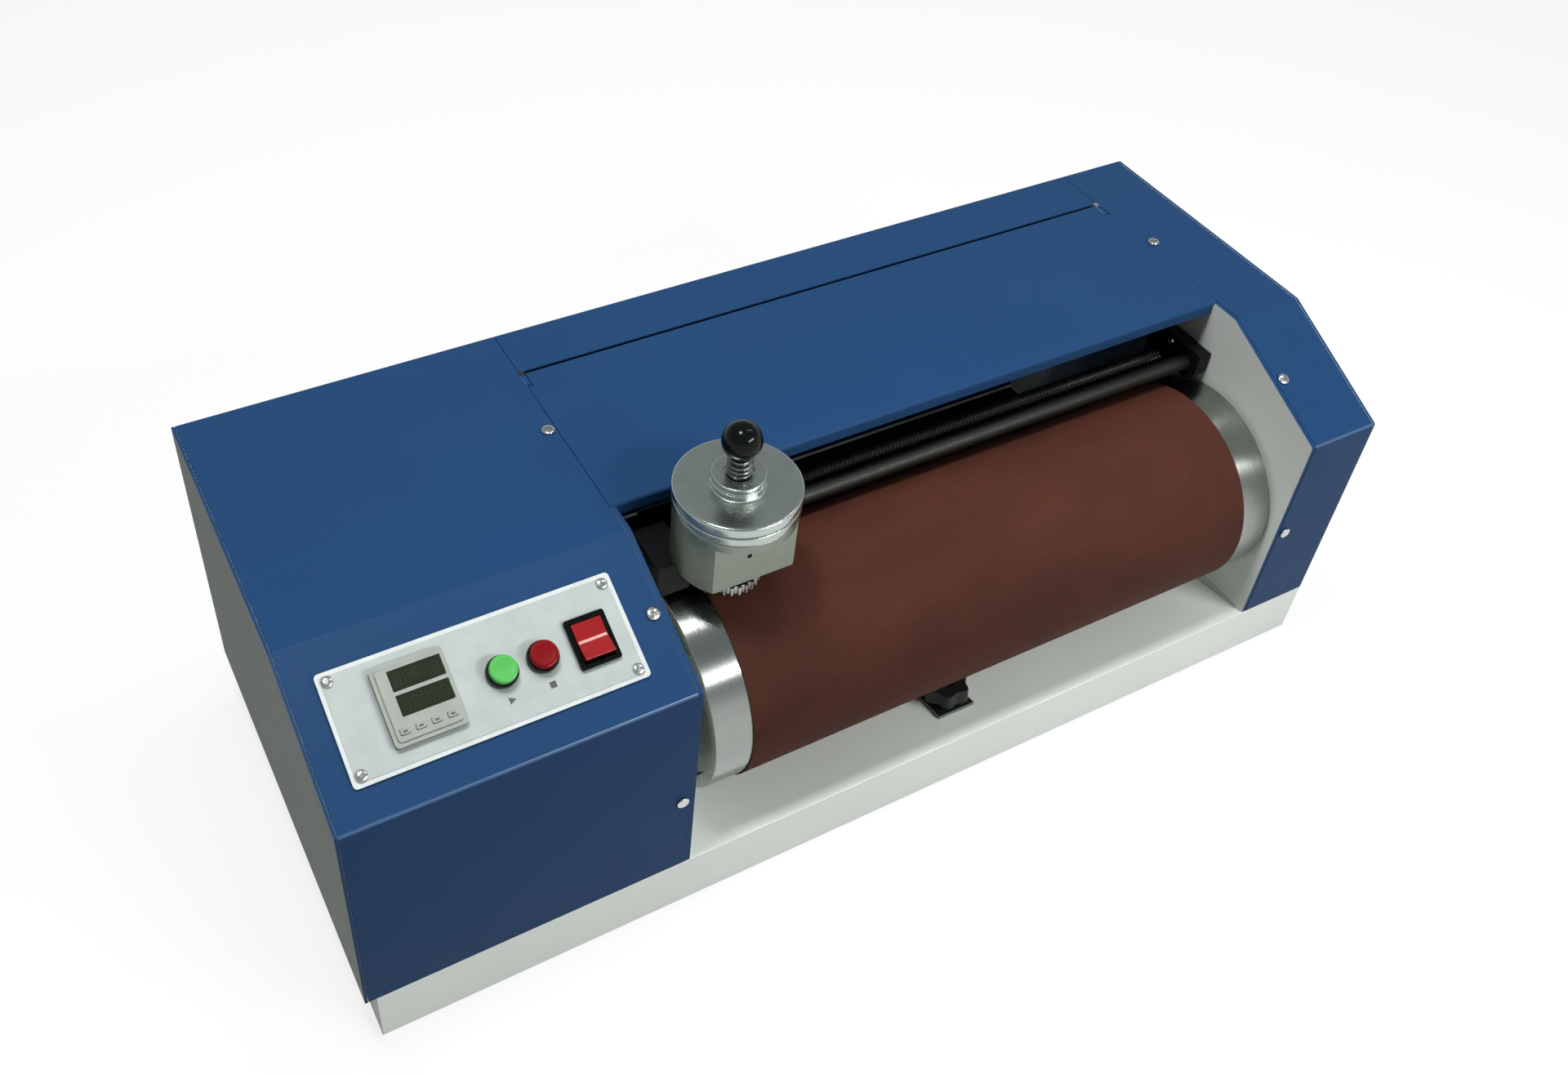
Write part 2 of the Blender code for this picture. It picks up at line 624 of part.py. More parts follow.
def make_cover_screws(left_cover, right_cover):
    """Three on each cover, along its inner edge, through the cover into the wall's flange."""
    reach = COVER_SHEET + GAP + FLANGE_SHEET + 2.0
    number = 0
    for side, cover, x in (("left", left_cover, X_LEFT_EDGE - SCREW_INSET),
                           ("right", right_cover, X_RIGHT_EDGE + SCREW_INSET)):
        wall = bpy.data.objects[side + "_bearing_wall"]
        up_y = Y_FRONT + SLOPE_SCREW_UP * cos(SLOPE_ANGLE)
        up_z = BEND_HEIGHT + SLOPE_SCREW_UP * sin(SLOPE_ANGLE)
        seats = (((x, TOP_SCREW_Y, HEIGHT), 0.0), ((x, up_y, up_z), SLOPE_ANGLE),
                 ((x, Y_FRONT, FRONT_SCREW_Z[side]), pi / 2))
        for place, tilt in seats:
            number += 1
            bm = bmesh.new()
            screw_mesh(bm, reach)
            made = piece(f"cover_screw_{number}", bm, STEEL)
            hole = bore_tool(f"screw_hole_{number}", (0, 0), SCREW_SHANK + GAP, -reach - 2.0, 2.0,
                             "Z", sides=SMALL)
            for thing in (made, hole):
                thing.location = Vector(place) * MM
                thing.rotation_euler = (tilt, 0, 0)
            cut(cover, hole)
            cut(wall, hole)


# ---- Drum ------------------------------------------------------------------------------

def make_drum():
    axis = (DRUM_Y, DRUM_Z)
    origin = (DRUM_LEFT, DRUM_Y, DRUM_Z)
    bore = SHAFT_RADIUS + GAP
    inner = DRUM_RADIUS - DRUM_WALL
    bm = bmesh.new()
    profile = [(bore, DRUM_LEFT), (DRUM_RADIUS - 1.0, DRUM_LEFT), (DRUM_RADIUS, DRUM_LEFT + 1.0),
               (DRUM_RADIUS, DRUM_RIGHT - 1.0), (DRUM_RADIUS - 1.0, DRUM_RIGHT), (bore, DRUM_RIGHT),
               (bore, DRUM_RIGHT - DRUM_WALL), (inner, DRUM_RIGHT - DRUM_WALL),
               (inner, DRUM_LEFT + DRUM_WALL), (bore, DRUM_LEFT + DRUM_WALL)]
    add_turned(bm, profile, axis, sides=FINE, closed=True)
    piece("drum_shell", bm, ALUMINIUM, origin)
    bm = bmesh.new()
    add_band(bm, circle(axis, CLOTH_INNER, FINE), circle(axis, CLOTH_OUTER, FINE),
             CLOTH_LEFT, CLOTH_RIGHT)
    piece("abrasive_cloth", bm, CLOTH, (CLOTH_LEFT, *axis))
    x0 = X_LEFT_EDGE - SHAFT_PAST_WALL_LEFT
    x1 = X_RIGHT_EDGE + SHAFT_PAST_WALL_RIGHT
    bm = bmesh.new()
    add_turned(bm, [(0, x0), (SHAFT_RADIUS - 1, x0), (SHAFT_RADIUS, x0 + 1), (SHAFT_RADIUS, x1 - 1),
                    (SHAFT_RADIUS - 1, x1), (0, x1)], axis)
    piece("drum_shaft", bm, STEEL, (x0, *axis))


def make_bearings():
    """Square flange bearings on the outer faces of the two walls."""
    half = BEARING_SIDE / 2
    chamfer = 10.0
    corners = [(half, half - chamfer), (half - chamfer, half)]
    outline = [(DRUM_Y + sy * a, DRUM_Z + sz * b)
               for sy, sz, turn in ((1, 1, 1), (-1, 1, -1), (-1, -1, 1), (1, -1, -1))
               for a, b in corners[::turn]]
    for side, back, out in (("left", X_LEFT_WALL - WALL, -1), ("right", X_RIGHT_WALL + WALL, 1)):
        near = back + out * GAP
        mid = near + out * 8.0
        far = near + out * BEARING_THICK
        bm = bmesh.new()
        add_prism(bm, outline, min(near, mid), max(near, mid))
        made = piece("bearing_" + side, bm, BLACK)
        bm = bmesh.new()
        add_cylinder(bm, (DRUM_Y, DRUM_Z), SHAFT_RADIUS + 11.0, min(mid - out, far), max(mid - out, far))
        add_to(made, tool("bearing_boss_" + side, bm))
        cut(made, bore_tool("bearing_bore_" + side, (DRUM_Y, DRUM_Z), SHAFT_RADIUS + GAP,
                            min(near, far) - 1.0, max(near, far) + 1.0))


# ---- Drive -----------------------------------------------------------------------------

def pulley_ring(bm, centre, bore, steps):
    """A pulley of one or more (radius, start, end) steps, side by side, with a bore."""
    profile = [(bore, steps[0][1])]
    for radius, start, end in steps:
        profile += [(radius, start), (radius, end)]
    profile.append((bore, steps[-1][2]))
    add_turned(bm, profile, centre, closed=True)


def belt_loop(one, radius_one, two, radius_two, sides=18):
    """The outline of a belt round two pulleys, by its two outer tangents."""
    dy, dz = two[0] - one[0], two[1] - one[1]
    away = atan2(dz, dy)
    spread = acos((radius_one - radius_two) / hypot(dy, dz))
    loop = []
    for centre, radius, start, sweep in ((one, radius_one, away + spread, 2 * (pi - spread)),
                                         (two, radius_two, away - spread, 2 * spread)):
        for i in range(sides + 1):
            a = start + sweep * i / sides
            loop.append((centre[0] + radius * cos(a), centre[1] + radius * sin(a)))
    return loop


def make_belt(name, one, radius_one, two, radius_two, start):
    edge = (PULLEY_WIDTH - BELT_WIDTH) / 2
    inner = belt_loop(one, radius_one + GAP, two, radius_two + GAP)
    outer = belt_loop(one, radius_one + GAP + BELT_THICK, two, radius_two + GAP + BELT_THICK)
    bm = bmesh.new()
    add_band(bm, inner, outer, start + edge, start + edge + BELT_WIDTH)
    piece(name, bm, RUBBER)


def make_drive():
    drum, motor, screw = (DRUM_Y, DRUM_Z), (MOTOR_Y, MOTOR_Z), (SCREW_Y, SCREW_Z)
    x = X_MAIN_BELT
    bm = bmesh.new()
    pulley_ring(bm, drum, SHAFT_RADIUS + GAP, [(SCREW_DRIVE_RADIUS, X_SCREW_BELT, x),
                                               (DRUM_PULLEY_RADIUS, x, x + PULLEY_WIDTH)])
    piece("drum_pulley", bm, ALUMINIUM, (x, *drum))
    bm = bmesh.new()
    pulley_ring(bm, screw, SCREW_RADIUS + GAP, [(SCREW_PULLEY_RADIUS, X_SCREW_BELT, x)])
    piece("screw_pulley", bm, ALUMINIUM, (x, *screw))
    shaft_end = X_BRACKET - GAP - 14.0
    bm = bmesh.new()
    add_turned(bm, [(0, shaft_end), (MOTOR_SHAFT_RADIUS, shaft_end), (MOTOR_SHAFT_RADIUS, x),
                    (MOTOR_PULLEY_RADIUS, x), (MOTOR_PULLEY_RADIUS, x + PULLEY_WIDTH),
                    (0, x + PULLEY_WIDTH)], motor)
    piece("motor_pulley", bm, ALUMINIUM, (x, *motor))
    make_belt("drive_belt", drum, DRUM_PULLEY_RADIUS, motor, MOTOR_PULLEY_RADIUS, x)
    make_belt("screw_belt", drum, SCREW_DRIVE_RADIUS, screw, SCREW_PULLEY_RADIUS, X_SCREW_BELT)


def make_motor():
    """A gear motor bolted to an angle bracket that stands on the base."""
    centre = (MOTOR_Y, MOTOR_Z)
    half = GEARBOX_SIDE / 2
    face = X_BRACKET - GAP
    back = face - GEARBOX_LENGTH
    bm = bmesh.new()
    add_box(bm, back, face, MOTOR_Y - half, MOTOR_Y + half, MOTOR_Z - half, MOTOR_Z + half)
    motor = piece("gear_motor", bm, BLACK)
    bm = bmesh.new()
    add_cylinder(bm, centre, MOTOR_RADIUS, back - MOTOR_LENGTH, back + 1.0)
    add_to(motor, tool("motor_can", bm))
    cut(motor, bore_tool("gearbox_bore", centre, MOTOR_SHAFT_RADIUS + GAP, face - 16.0, face + 1.0))
    foot = BASE_HEIGHT + GAP
    top = MOTOR_Z + half
    outline = [(face + GAP, foot), (face + GAP, top), (face + GAP + BRACKET_SHEET, top),
               (face + GAP + BRACKET_SHEET, foot)]
    bm = bmesh.new()
    add_prism(bm, outline, MOTOR_Y - half, MOTOR_Y + half, "Y")
    bracket = piece("motor_bracket", bm, STEEL)
    add_to(bracket, box_tool("bracket_foot", face - GEARBOX_LENGTH, face + GAP + 1.0, MOTOR_Y - half,
                             MOTOR_Y + half, foot, foot + BRACKET_SHEET))
    cut(bracket, bore_tool("bracket_hole", centre, MOTOR_SHAFT_RADIUS + 3.0, face - 1.0, X_MAIN_BELT))


# ---- Traverse --------------------------------------------------------------------------

def hub_arc(start, stop):
    """Points round the guide rod, every 20 degrees, at the hub's radius."""
    return [(ROD_Y + HUB_RADIUS * cos(radians(a)), ROD_Z + HUB_RADIUS * sin(radians(a)))
            for a in range(start, stop + 1, 20)]


def make_traverse():
    rod, screw = (ROD_Y, ROD_Z), (SCREW_Y, SCREW_Z)
    rod_x = (X_LEFT_WALL + 1.0, X_RIGHT_WALL - 1.0)
    bm = bmesh.new()
    add_cylinder(bm, rod, ROD_RADIUS, *rod_x)
    piece("guide_rod", bm, STEEL)
    bm = bmesh.new()
    add_cylinder(bm, screw, SCREW_RADIUS, X_SCREW_BELT - 3.0, rod_x[1])
    piece("lead_screw", bm, STEEL, (rod_x[0], *screw))
    reach = NUT_REACH + 2.0
    low, high = SCREW_Z - reach, ROD_Z + HUB_RADIUS
    outline = hub_arc(180, 300) + [(SCREW_Y - reach, SCREW_Z), (SCREW_Y - reach, low),
                                   (SCREW_Y + reach, low), (SCREW_Y + reach, high),
                                   (ROD_Y - HUB_RADIUS, high)]
    for side, face, inward in (("left", X_LEFT_WALL, 1), ("right", X_RIGHT_WALL, -1)):
        a, b = face + inward * GAP, face + inward * (GAP + SUPPORT_THICK)
        bm = bmesh.new()
        add_prism(bm, outline, min(a, b), max(a, b))
        block = piece("rod_support_" + side, bm, BLACK)
        reach_x = (min(a, b) - 1.0, max(a, b) + 1.0)
        cut(block, bore_tool("rod_seat_" + side, rod, ROD_RADIUS + GAP, *reach_x),
            bore_tool("screw_seat_" + side, screw, SCREW_RADIUS + GAP, *reach_x))


def make_carriage():
    """A block that slides on the guide rod, with the nut of the lead screw behind it."""
    x0, x1 = HOLDER_X - CARRIAGE_WIDTH / 2, HOLDER_X + CARRIAGE_WIDTH / 2
    hub = hub_arc(20, 320)
    front, back = SCREW_Y - NUT_REACH, SCREW_Y + NUT_REACH
    outline = hub + [(front, hub[-1][1]), (front, SCREW_Z - NUT_REACH), (back, SCREW_Z - NUT_REACH),
                     (back, SCREW_Z + NUT_REACH)]
    bm = bmesh.new()
    add_prism(bm, outline, x0, x1)
    block = piece("carriage", bm, BLACK, (HOLDER_X, ROD_Y, ROD_Z))
    cut(block, bore_tool("carriage_bore", (ROD_Y, ROD_Z), ROD_RADIUS + GAP, x0 - 1.0, x1 + 1.0),
        bore_tool("nut_bore", (SCREW_Y, SCREW_Z), SCREW_RADIUS + GAP, x0 - 1.0, x1 + 1.0))


def cheek_outline():
    """A side of the swing arm: round about the guide rod, straight above the cloth."""
    front = HOLDER_Y + CHEEK_FRONT
    return [(front, DRUM_TOP + CHEEK_CLEAR)] + hub_arc(250, 430) + [
        (ROD_Y, PLATE_TOP), (front, PLATE_TOP)]


def make_arm():
    """Two cheeks on the guide rod, either side of the carriage, and the plate between them."""
    inner_left = HOLDER_X - CARRIAGE_WIDTH / 2 - 0.5
    inner_right = HOLDER_X + CARRIAGE_WIDTH / 2 + 0.5
    x0, x1 = inner_left - CHEEK_LEFT, inner_right + CHEEK_RIGHT
    bm = bmesh.new()
    add_prism(bm, cheek_outline(), x0, inner_left)
    arm = piece("swing_arm", bm, BLACK, (HOLDER_X, ROD_Y, ROD_Z))
    bm = bmesh.new()
    add_prism(bm, cheek_outline(), inner_right, x1)
    plate_back = ROD_Y - HUB_RADIUS - 2.0
    plate = box_tool("arm_plate", inner_left - 1.0, inner_right + 1.0, HOLDER_Y - ARM_FRONT,
                     plate_back, PLATE_BOTTOM, PLATE_TOP)
    add_to(arm, plate, tool("right_cheek", bm))
    cut(arm, bore_tool("arm_eye", (ROD_Y, ROD_Z), ROD_RADIUS + GAP, x0 - 1.0, x1 + 1.0),
        bore_tool("collar_hole", (HOLDER_X, HOLDER_Y), COLLAR_RADIUS + GAP,
                  PLATE_BOTTOM - 1.0, PLATE_TOP + 1.0, "Z"))


# ---- Sample holder ---------------------------------------------------------------------

def make_holder():
    axis = (HOLDER_X, HOLDER_Y)
    origin = (HOLDER_X, HOLDER_Y, HOLDER_BOTTOM)
    top = WEIGHT_BOTTOM - GAP
    bm = bmesh.new()
    add_turned(bm, [(SPINDLE_RADIUS + GAP, HOLDER_BOTTOM), (HOLDER_RADIUS - 0.8, HOLDER_BOTTOM),
                    (HOLDER_RADIUS, HOLDER_BOTTOM + 0.8), (HOLDER_RADIUS, top),
                    (SPINDLE_RADIUS + GAP, top)], axis, "Z", sides=WEIGHT_SIDES, closed=True)
    body = piece("holder_body", bm, ALUMINIUM, origin)
    for name, sign in (("front_flat", -1), ("back_flat", 1)):
        near, far = HOLDER_Y + sign * HOLDER_FLAT, HOLDER_Y + sign * (HOLDER_RADIUS + 2.0)
        cut(body, box_tool(name, HOLDER_X - HOLDER_RADIUS - 2.0, HOLDER_X + HOLDER_RADIUS + 2.0,
                           min(near, far), max(near, far), HOLDER_BOTTOM - 1.0, FLAT_TOP))
    rim = 0.8
    groove = WEIGHT_BOTTOM + 5.5
    bm = bmesh.new()
    add_turned(bm, [(SPINDLE_RADIUS + GAP, WEIGHT_BOTTOM), (WEIGHT_RADIUS - 0.6 - rim, WEIGHT_BOTTOM),
                    (WEIGHT_RADIUS - 0.6, WEIGHT_BOTTOM + rim), (WEIGHT_RADIUS - 0.6, groove),
                    (WEIGHT_RADIUS - 2.0, groove + 0.5), (WEIGHT_RADIUS - 2.0, groove + 1.3),
                    (WEIGHT_RADIUS, groove + 1.8), (WEIGHT_RADIUS, WEIGHT_TOP - rim),
                    (WEIGHT_RADIUS - rim, WEIGHT_TOP), (BOSS_RADIUS, WEIGHT_TOP),
                    (BOSS_RADIUS, BOSS_TOP - rim), (BOSS_RADIUS - rim, BOSS_TOP),
                    (SPINDLE_RADIUS + GAP, BOSS_TOP)], axis, "Z", sides=WEIGHT_SIDES, closed=True)
    piece("load_weight", bm, ALUMINIUM, (*axis, WEIGHT_BOTTOM))


def toothed_loop(centre, radius, teeth, depth):
    loop = []
    for i in range(teeth):
        for part, r in ((0.0, radius - depth), (0.22, radius), (0.5, radius), (0.72, radius - depth)):
            a = 2 * pi * (i + part) / teeth
            loop.append((centre[0] + r * cos(a), centre[1] + r * sin(a)))
    return loop


def make_spindle():
    """The chuck with its rubber test piece below, and the spindle with its ball on top."""
    axis = (HOLDER_X, HOLDER_Y)
    teeth_bottom = CHUCK_BOTTOM + NOSE_HEIGHT
    teeth_top = teeth_bottom + CHUCK_THICK
    collar_top = PLATE_TOP - 1.0
    bm = bmesh.new()
    add_prism(bm, toothed_loop(axis, CHUCK_RADIUS, CHUCK_TEETH, 1.6), teeth_bottom, teeth_top, "Z")
    chuck = piece("sample_chuck", bm, ALUMINIUM, (*axis, CHUCK_BOTTOM))
    bm = bmesh.new()
    add_cylinder(bm, axis, NOSE_RADIUS, CHUCK_BOTTOM, teeth_bottom + 1.0, "Z")
    collar = bmesh.new()
    add_cylinder(collar, axis, COLLAR_RADIUS, teeth_top - 1.0, collar_top, "Z")
    add_to(chuck, tool("chuck_nose", bm), tool("chuck_collar", collar))
    pocket = SAMPLE_BOTTOM + SAMPLE_HEIGHT + GAP
    cut(chuck, bore_tool("chuck_pocket", axis, SAMPLE_RADIUS + GAP, CHUCK_BOTTOM - 1.0, pocket, "Z"),
        bore_tool("chuck_bore", axis, SPINDLE_RADIUS + GAP, pocket - 1.0, collar_top + 1.0, "Z"))
    bm = bmesh.new()
    add_cylinder(bm, axis, SAMPLE_RADIUS, SAMPLE_BOTTOM, SAMPLE_BOTTOM + SAMPLE_HEIGHT, "Z")
    piece("test_piece", bm, RUBBER, (*axis, SAMPLE_BOTTOM))
    neck = BOSS_TOP + GAP
    ball_foot = BALL_Z - BALL_RADIUS * cos(radians(35))
    bm = bmesh.new()
    foot = pocket + GAP
    tip = ball_foot + 8.0
    rib = (ball_foot - GAP - neck) / 3
    profile = [(0, foot), (SPINDLE_RADIUS, foot), (SPINDLE_RADIUS, neck)]
    for i in range(3):
        start = neck + i * rib
        profile += [(NECK_RADIUS, start), (NECK_RADIUS, start + 0.6 * rib),
                    (NECK_RADIUS - 1.6, start + 0.62 * rib), (NECK_RADIUS - 1.6, start + rib)]
    profile += [(SPINDLE_RADIUS - 1, neck + 3 * rib), (SPINDLE_RADIUS - 1, tip), (0, tip)]
    add_turned(bm, profile, axis, "Z", sides=SMALL)
    piece("spindle", bm, STEEL, (*axis, foot))
    make_ball(axis, ball_foot, tip)


def make_ball(axis, foot, tip):
    bore = SPINDLE_RADIUS - 1 + GAP
    steps = 9
    arc = [(BALL_RADIUS * sin(a), BALL_Z - BALL_RADIUS * cos(a))
           for a in (radians(35 + (180 - 35) * i / steps) for i in range(steps))]
    bm = bmesh.new()
    add_turned(bm, [(0, tip + GAP), (bore, tip + GAP), (bore, foot)] + arc + [(0, BALL_Z + BALL_RADIUS)],
               axis, "Z")
    piece("ball_knob", bm, PLASTIC, (*axis, foot))


# ---- Control panel ---------------------------------------------------------------------

def rounded_box(bm, x, up, width, height, start, end, radius=1.5):
    """A plate on the slope with rounded corners, its thickness along the slope's normal."""
    outline = []
    for sx, sy, first in ((1, 1, 0), (-1, 1, 90), (-1, -1, 180), (1, -1, 270)):
        for a in (first, first + 45, first + 90):
            outline.append((x + sx * (width / 2 - radius) + radius * cos(radians(a)),
                            up + sy * (height / 2 - radius) + radius * sin(radians(a))))
    add_prism(bm, outline, start, end, "Z")


def make_panel(slope, left_cover):
    x = X_PANEL + PANEL_WIDTH / 2
    up = PANEL_UP + PANEL_HEIGHT / 2
    top = GAP + PANEL_SHEET
    bm = bmesh.new()
    rounded_box(bm, x, up, PANEL_WIDTH, PANEL_HEIGHT, GAP, top)
    panel = piece("panel_plate", bm, PANEL, parent=slope)
    case = (COUNTER_WIDTH - 5.0, COUNTER_HEIGHT - 7.0)
    rocker = (ROCKER_WIDTH - 4.0, ROCKER_HEIGHT - 4.0)
    cut(panel, box_on_slope("counter_hole", slope, COUNTER_X, COUNTER_UP, case, GAP, -2.0, top + 1.0),
        box_on_slope("rocker_hole", slope, ROCKER_X, ROCKER_UP, rocker, GAP, -2.0, top + 1.0))
    for name, at in (("start", START_X), ("stop", STOP_X)):
        cut(panel, bore_tool(name + "_hole", (at, BUTTON_UP), BUTTON_BARREL + GAP, -2.0, top + 1.0,
                             "Z", parent=slope))
    cut(left_cover, box_tool("panel_window", x - PANEL_WIDTH / 2 + 12.0, x + PANEL_WIDTH / 2 - 8.0,
                             PANEL_UP + 8.0, PANEL_UP + PANEL_HEIGHT - 8.0, -8.0, 2.0, parent=slope))
    make_counter(slope, top + GAP, case)
    make_button("start", START_X, GREEN, slope, top + GAP)
    make_button("stop", STOP_X, RED, slope, top + GAP)
    make_rocker(slope, top + GAP, rocker)


def box_on_slope(name, slope, x, up, size, grow, start, end):
    """A square-cornered cutter on the slope, a gap larger than what goes through it."""
    w, h = size[0] / 2 + grow, size[1] / 2 + grow
    return box_tool(name, x - w, x + w, up - h, up + h, start, end, parent=slope)


def make_counter(slope, seat, case):
    face = seat + COUNTER_PROUD
    bm = bmesh.new()
    rounded_box(bm, COUNTER_X, COUNTER_UP, COUNTER_WIDTH, COUNTER_HEIGHT, seat, face, 2.5)
    counter = piece("counter_case", bm, PANEL, parent=slope)
    add_to(counter, box_on_slope("counter_body", slope, COUNTER_X, COUNTER_UP, case, 0.0,
                                 seat - COUNTER_DEEP, seat + 1.0))
    for name, up in zip(("upper", "lower"), WINDOW_UP):
        pocket = face - 1.5
        cut(counter, box_on_slope(name + "_window_seat", slope, WINDOW_X, up,
                                  (WINDOW_WIDTH, WINDOW_HEIGHT), GAP, pocket, face + 1.0))
        bm = bmesh.new()
        add_box(bm, WINDOW_X - WINDOW_WIDTH / 2, WINDOW_X + WINDOW_WIDTH / 2, up - WINDOW_HEIGHT / 2,
                up + WINDOW_HEIGHT / 2, pocket + GAP, face - 0.4)
        piece(f"counter_window_{name}", bm, WINDOW, parent=slope)
    for i in range(KEY_COUNT):
        x = COUNTER_X + KEY_PITCH * (i - (KEY_COUNT - 1) / 2)
        cut(counter, box_on_slope(f"key_hole_{i + 1}", slope, x, KEY_UP, (KEY_WIDTH, KEY_HEIGHT), GAP,
                                  face - 3.6, face + 1.0))
        bm = bmesh.new()
        add_box(bm, x - KEY_WIDTH / 2, x + KEY_WIDTH / 2, KEY_UP - KEY_HEIGHT / 2,
                KEY_UP + KEY_HEIGHT / 2, face - 2.3, face + 0.9)
        piece(f"counter_key_{i + 1}", bm, PLASTIC, (x, KEY_UP, face), slope)


def make_button(name, x, mat, slope, seat):
    """A ring and barrel through the panel, and the cap with its stem inside them."""
    centre = (x, BUTTON_UP)
    floor = seat + 1.2
    rim = seat + 3.4
    deep = seat - 24.0
    bm = bmesh.new()
    add_turned(bm, [(BUTTON_STEM + GAP, deep), (BUTTON_BARREL, deep), (BUTTON_BARREL, seat),
                    (BUTTON_RING, seat), (BUTTON_RING, rim - 0.5), (BUTTON_RING - 0.4, rim),
                    (BUTTON_RADIUS + GAP, rim), (BUTTON_RADIUS + GAP, floor),
                    (BUTTON_STEM + GAP, floor)], centre, "Z", closed=True)
    piece(name + "_button_body", bm, STEEL, parent=slope)
    low = floor + 3.0
    top = low + 4.2
    bm = bmesh.new()
    add_turned(bm, [(0, deep + 4.0), (BUTTON_STEM, deep + 4.0), (BUTTON_STEM, low),
                    (BUTTON_RADIUS, low), (BUTTON_RADIUS, top - 1.4), (BUTTON_RADIUS - 1.2, top - 0.4),
                    (BUTTON_RADIUS * 0.5, top), (0, top)], centre, "Z")
    piece(name + "_button", bm, mat, (*centre, low), slope)


def make_rocker(slope, seat, body):
    """A bezel and body in one, and the rocker that tips about the middle of it."""
    face = seat + 2.4
    opening = (body[0] - 2.0, body[1] - 2.0)
    bm = bmesh.new()
    rounded_box(bm, ROCKER_X, ROCKER_UP, ROCKER_WIDTH, ROCKER_HEIGHT, seat, face, 2.0)
    bezel = piece("rocker_bezel", bm, PLASTIC, parent=slope)
    add_to(bezel, box_on_slope("rocker_body", slope, ROCKER_X, ROCKER_UP, body, 0.0, seat - 20.0,
                               seat + 1.0))
    cut(bezel, box_on_slope("rocker_pocket", slope, ROCKER_X, ROCKER_UP, opening, 0.0, seat - 12.0,
                            face + 1.0))
    half = opening[1] / 2 - 0.9
    across = opening[0] / 2 - GAP
    low = -6.0
    rise = half * tan(ROCKER_TILT)
    outline = [(-half, rise + 1.2), (0.0, 1.0), (half, rise + 1.2), (half * 0.72, low), (-half * 0.72, low)]
    bm = bmesh.new()
    add_prism(bm, outline, -across, across)
    rocker = finish("rocker_switch", bm, parent=slope)
    rocker.data.materials.append(RED)
    rocker.location = Vector((ROCKER_X, ROCKER_UP, face)) * MM
    rocker.rotation_euler = (-ROCKER_TILT, 0.0, 0.0)


# ---- Fittings --------------------------------------------------------------------------

def make_inlet(left_cover):
    """A mains inlet in the back of the left cover."""
    flange = SCREW_DOME
    near, far = Y_BACK + GAP, Y_BACK + flange
    bm = bmesh.new()
    outline = [(INLET_X + a, INLET_Z + b) for a, b in
               ((-25, -8), (-22, -11.5), (22, -11.5), (25, -8), (25, 8), (22, 11.5), (-22, 11.5), (-25, 8))]
    add_prism(bm, outline, near, far, "Y")
    inlet = piece("power_inlet", bm, PLASTIC)
    w, h = 13.5, 10.0
    add_to(inlet, box_tool("inlet_body", INLET_X - w, INLET_X + w, Y_BACK - 26.0, near + 1.0,
                           INLET_Z - h, INLET_Z + h))
    cut(inlet, box_tool("inlet_socket", INLET_X - w + 2.5, INLET_X + w - 2.5, Y_BACK - 16.0, far + 1.0,
                        INLET_Z - h + 2.5, INLET_Z + h - 2.5))
    cut(left_cover, box_tool("inlet_hole", INLET_X - w - GAP, INLET_X + w + GAP,
                             Y_BACK - COVER_SHEET - 1.0, Y_BACK + 1.0, INLET_Z - h - GAP,
                             INLET_Z + h + GAP))


def make_board():
    """The control board on four posts, under the control panel."""
    x0, y0 = X_LEFT + BOARD_FROM_LEFT, Y_FRONT + BOARD_FROM_FRONT
    x1, y1 = x0 + BOARD_LENGTH, y0 + BOARD_DEPTH
    foot = BASE_HEIGHT + GAP
    under = foot + BOARD_RISE
    top = under + BOARD_SHEET
    bm = bmesh.new()
    add_box(bm, x0, x1, y0, y1, under, top)
    board = piece("control_board", bm, GREEN)
    edge = 5.0
    corners = [(x, y) for x in (x0 + edge, x1 - edge) for y in (y0 + edge, y1 - edge)]
    for i, place in enumerate(corners):
        add_to(board, bore_tool(f"board_post_{i}", place, 3.0, foot, under + 0.8, "Z", sides=8))
    add_to(board, box_tool("transformer", x0 + 20.0, x0 + 62.0, y0 + 30.0, y0 + 78.0, top - 0.6,
                           top + 34.0))


def make_brush(trough):
    """A dust brush along the drum's underside, clamped to the trough by a lobed knob."""
    x0, x1 = CLOTH_LEFT + BRUSH_SHORTER, CLOTH_RIGHT - BRUSH_SHORTER
    y0, y1 = DRUM_Y - BRUSH_WIDTH / 2, DRUM_Y + BRUSH_WIDTH / 2
    floor = TROUGH_FLOOR + GAP
    mid = floor + 7.0
    bm = bmesh.new()
    add_box(bm, x0, x1, y0, y1, floor, mid)
    bar = piece("brush_bar", bm, ALUMINIUM)
    half = 15.0
    sheet = 2.5
    foot = box_tool("brush_foot", KNOB_X - half, KNOB_X + half, KNOB_DOWN - 14.0, TROUGH_RUN + 0.5,
                    GAP, GAP + sheet, parent=trough)
    tongue = box_tool("brush_tongue", KNOB_X - half, KNOB_X + half, SLOPE_FOOT_Y - 3.5, y0 + 1.0,
                      floor + 0.7, floor + 0.7 + sheet)
    add_to(bar, foot, tongue)
    cut(bar, bore_tool("stud_hole", (KNOB_X, KNOB_DOWN), STUD_RADIUS + 2 * GAP, -1.0, 6.0, "Z",
                       parent=trough))
    bm = bmesh.new()
    add_box(bm, x0, x1, y0 + 1.5, y1 - 1.5, mid + GAP, DRUM_Z - CLOTH_OUTER - GAP)
    piece("brush_bristles", bm, BRISTLE)
    make_knob(trough, GAP + sheet + GAP)


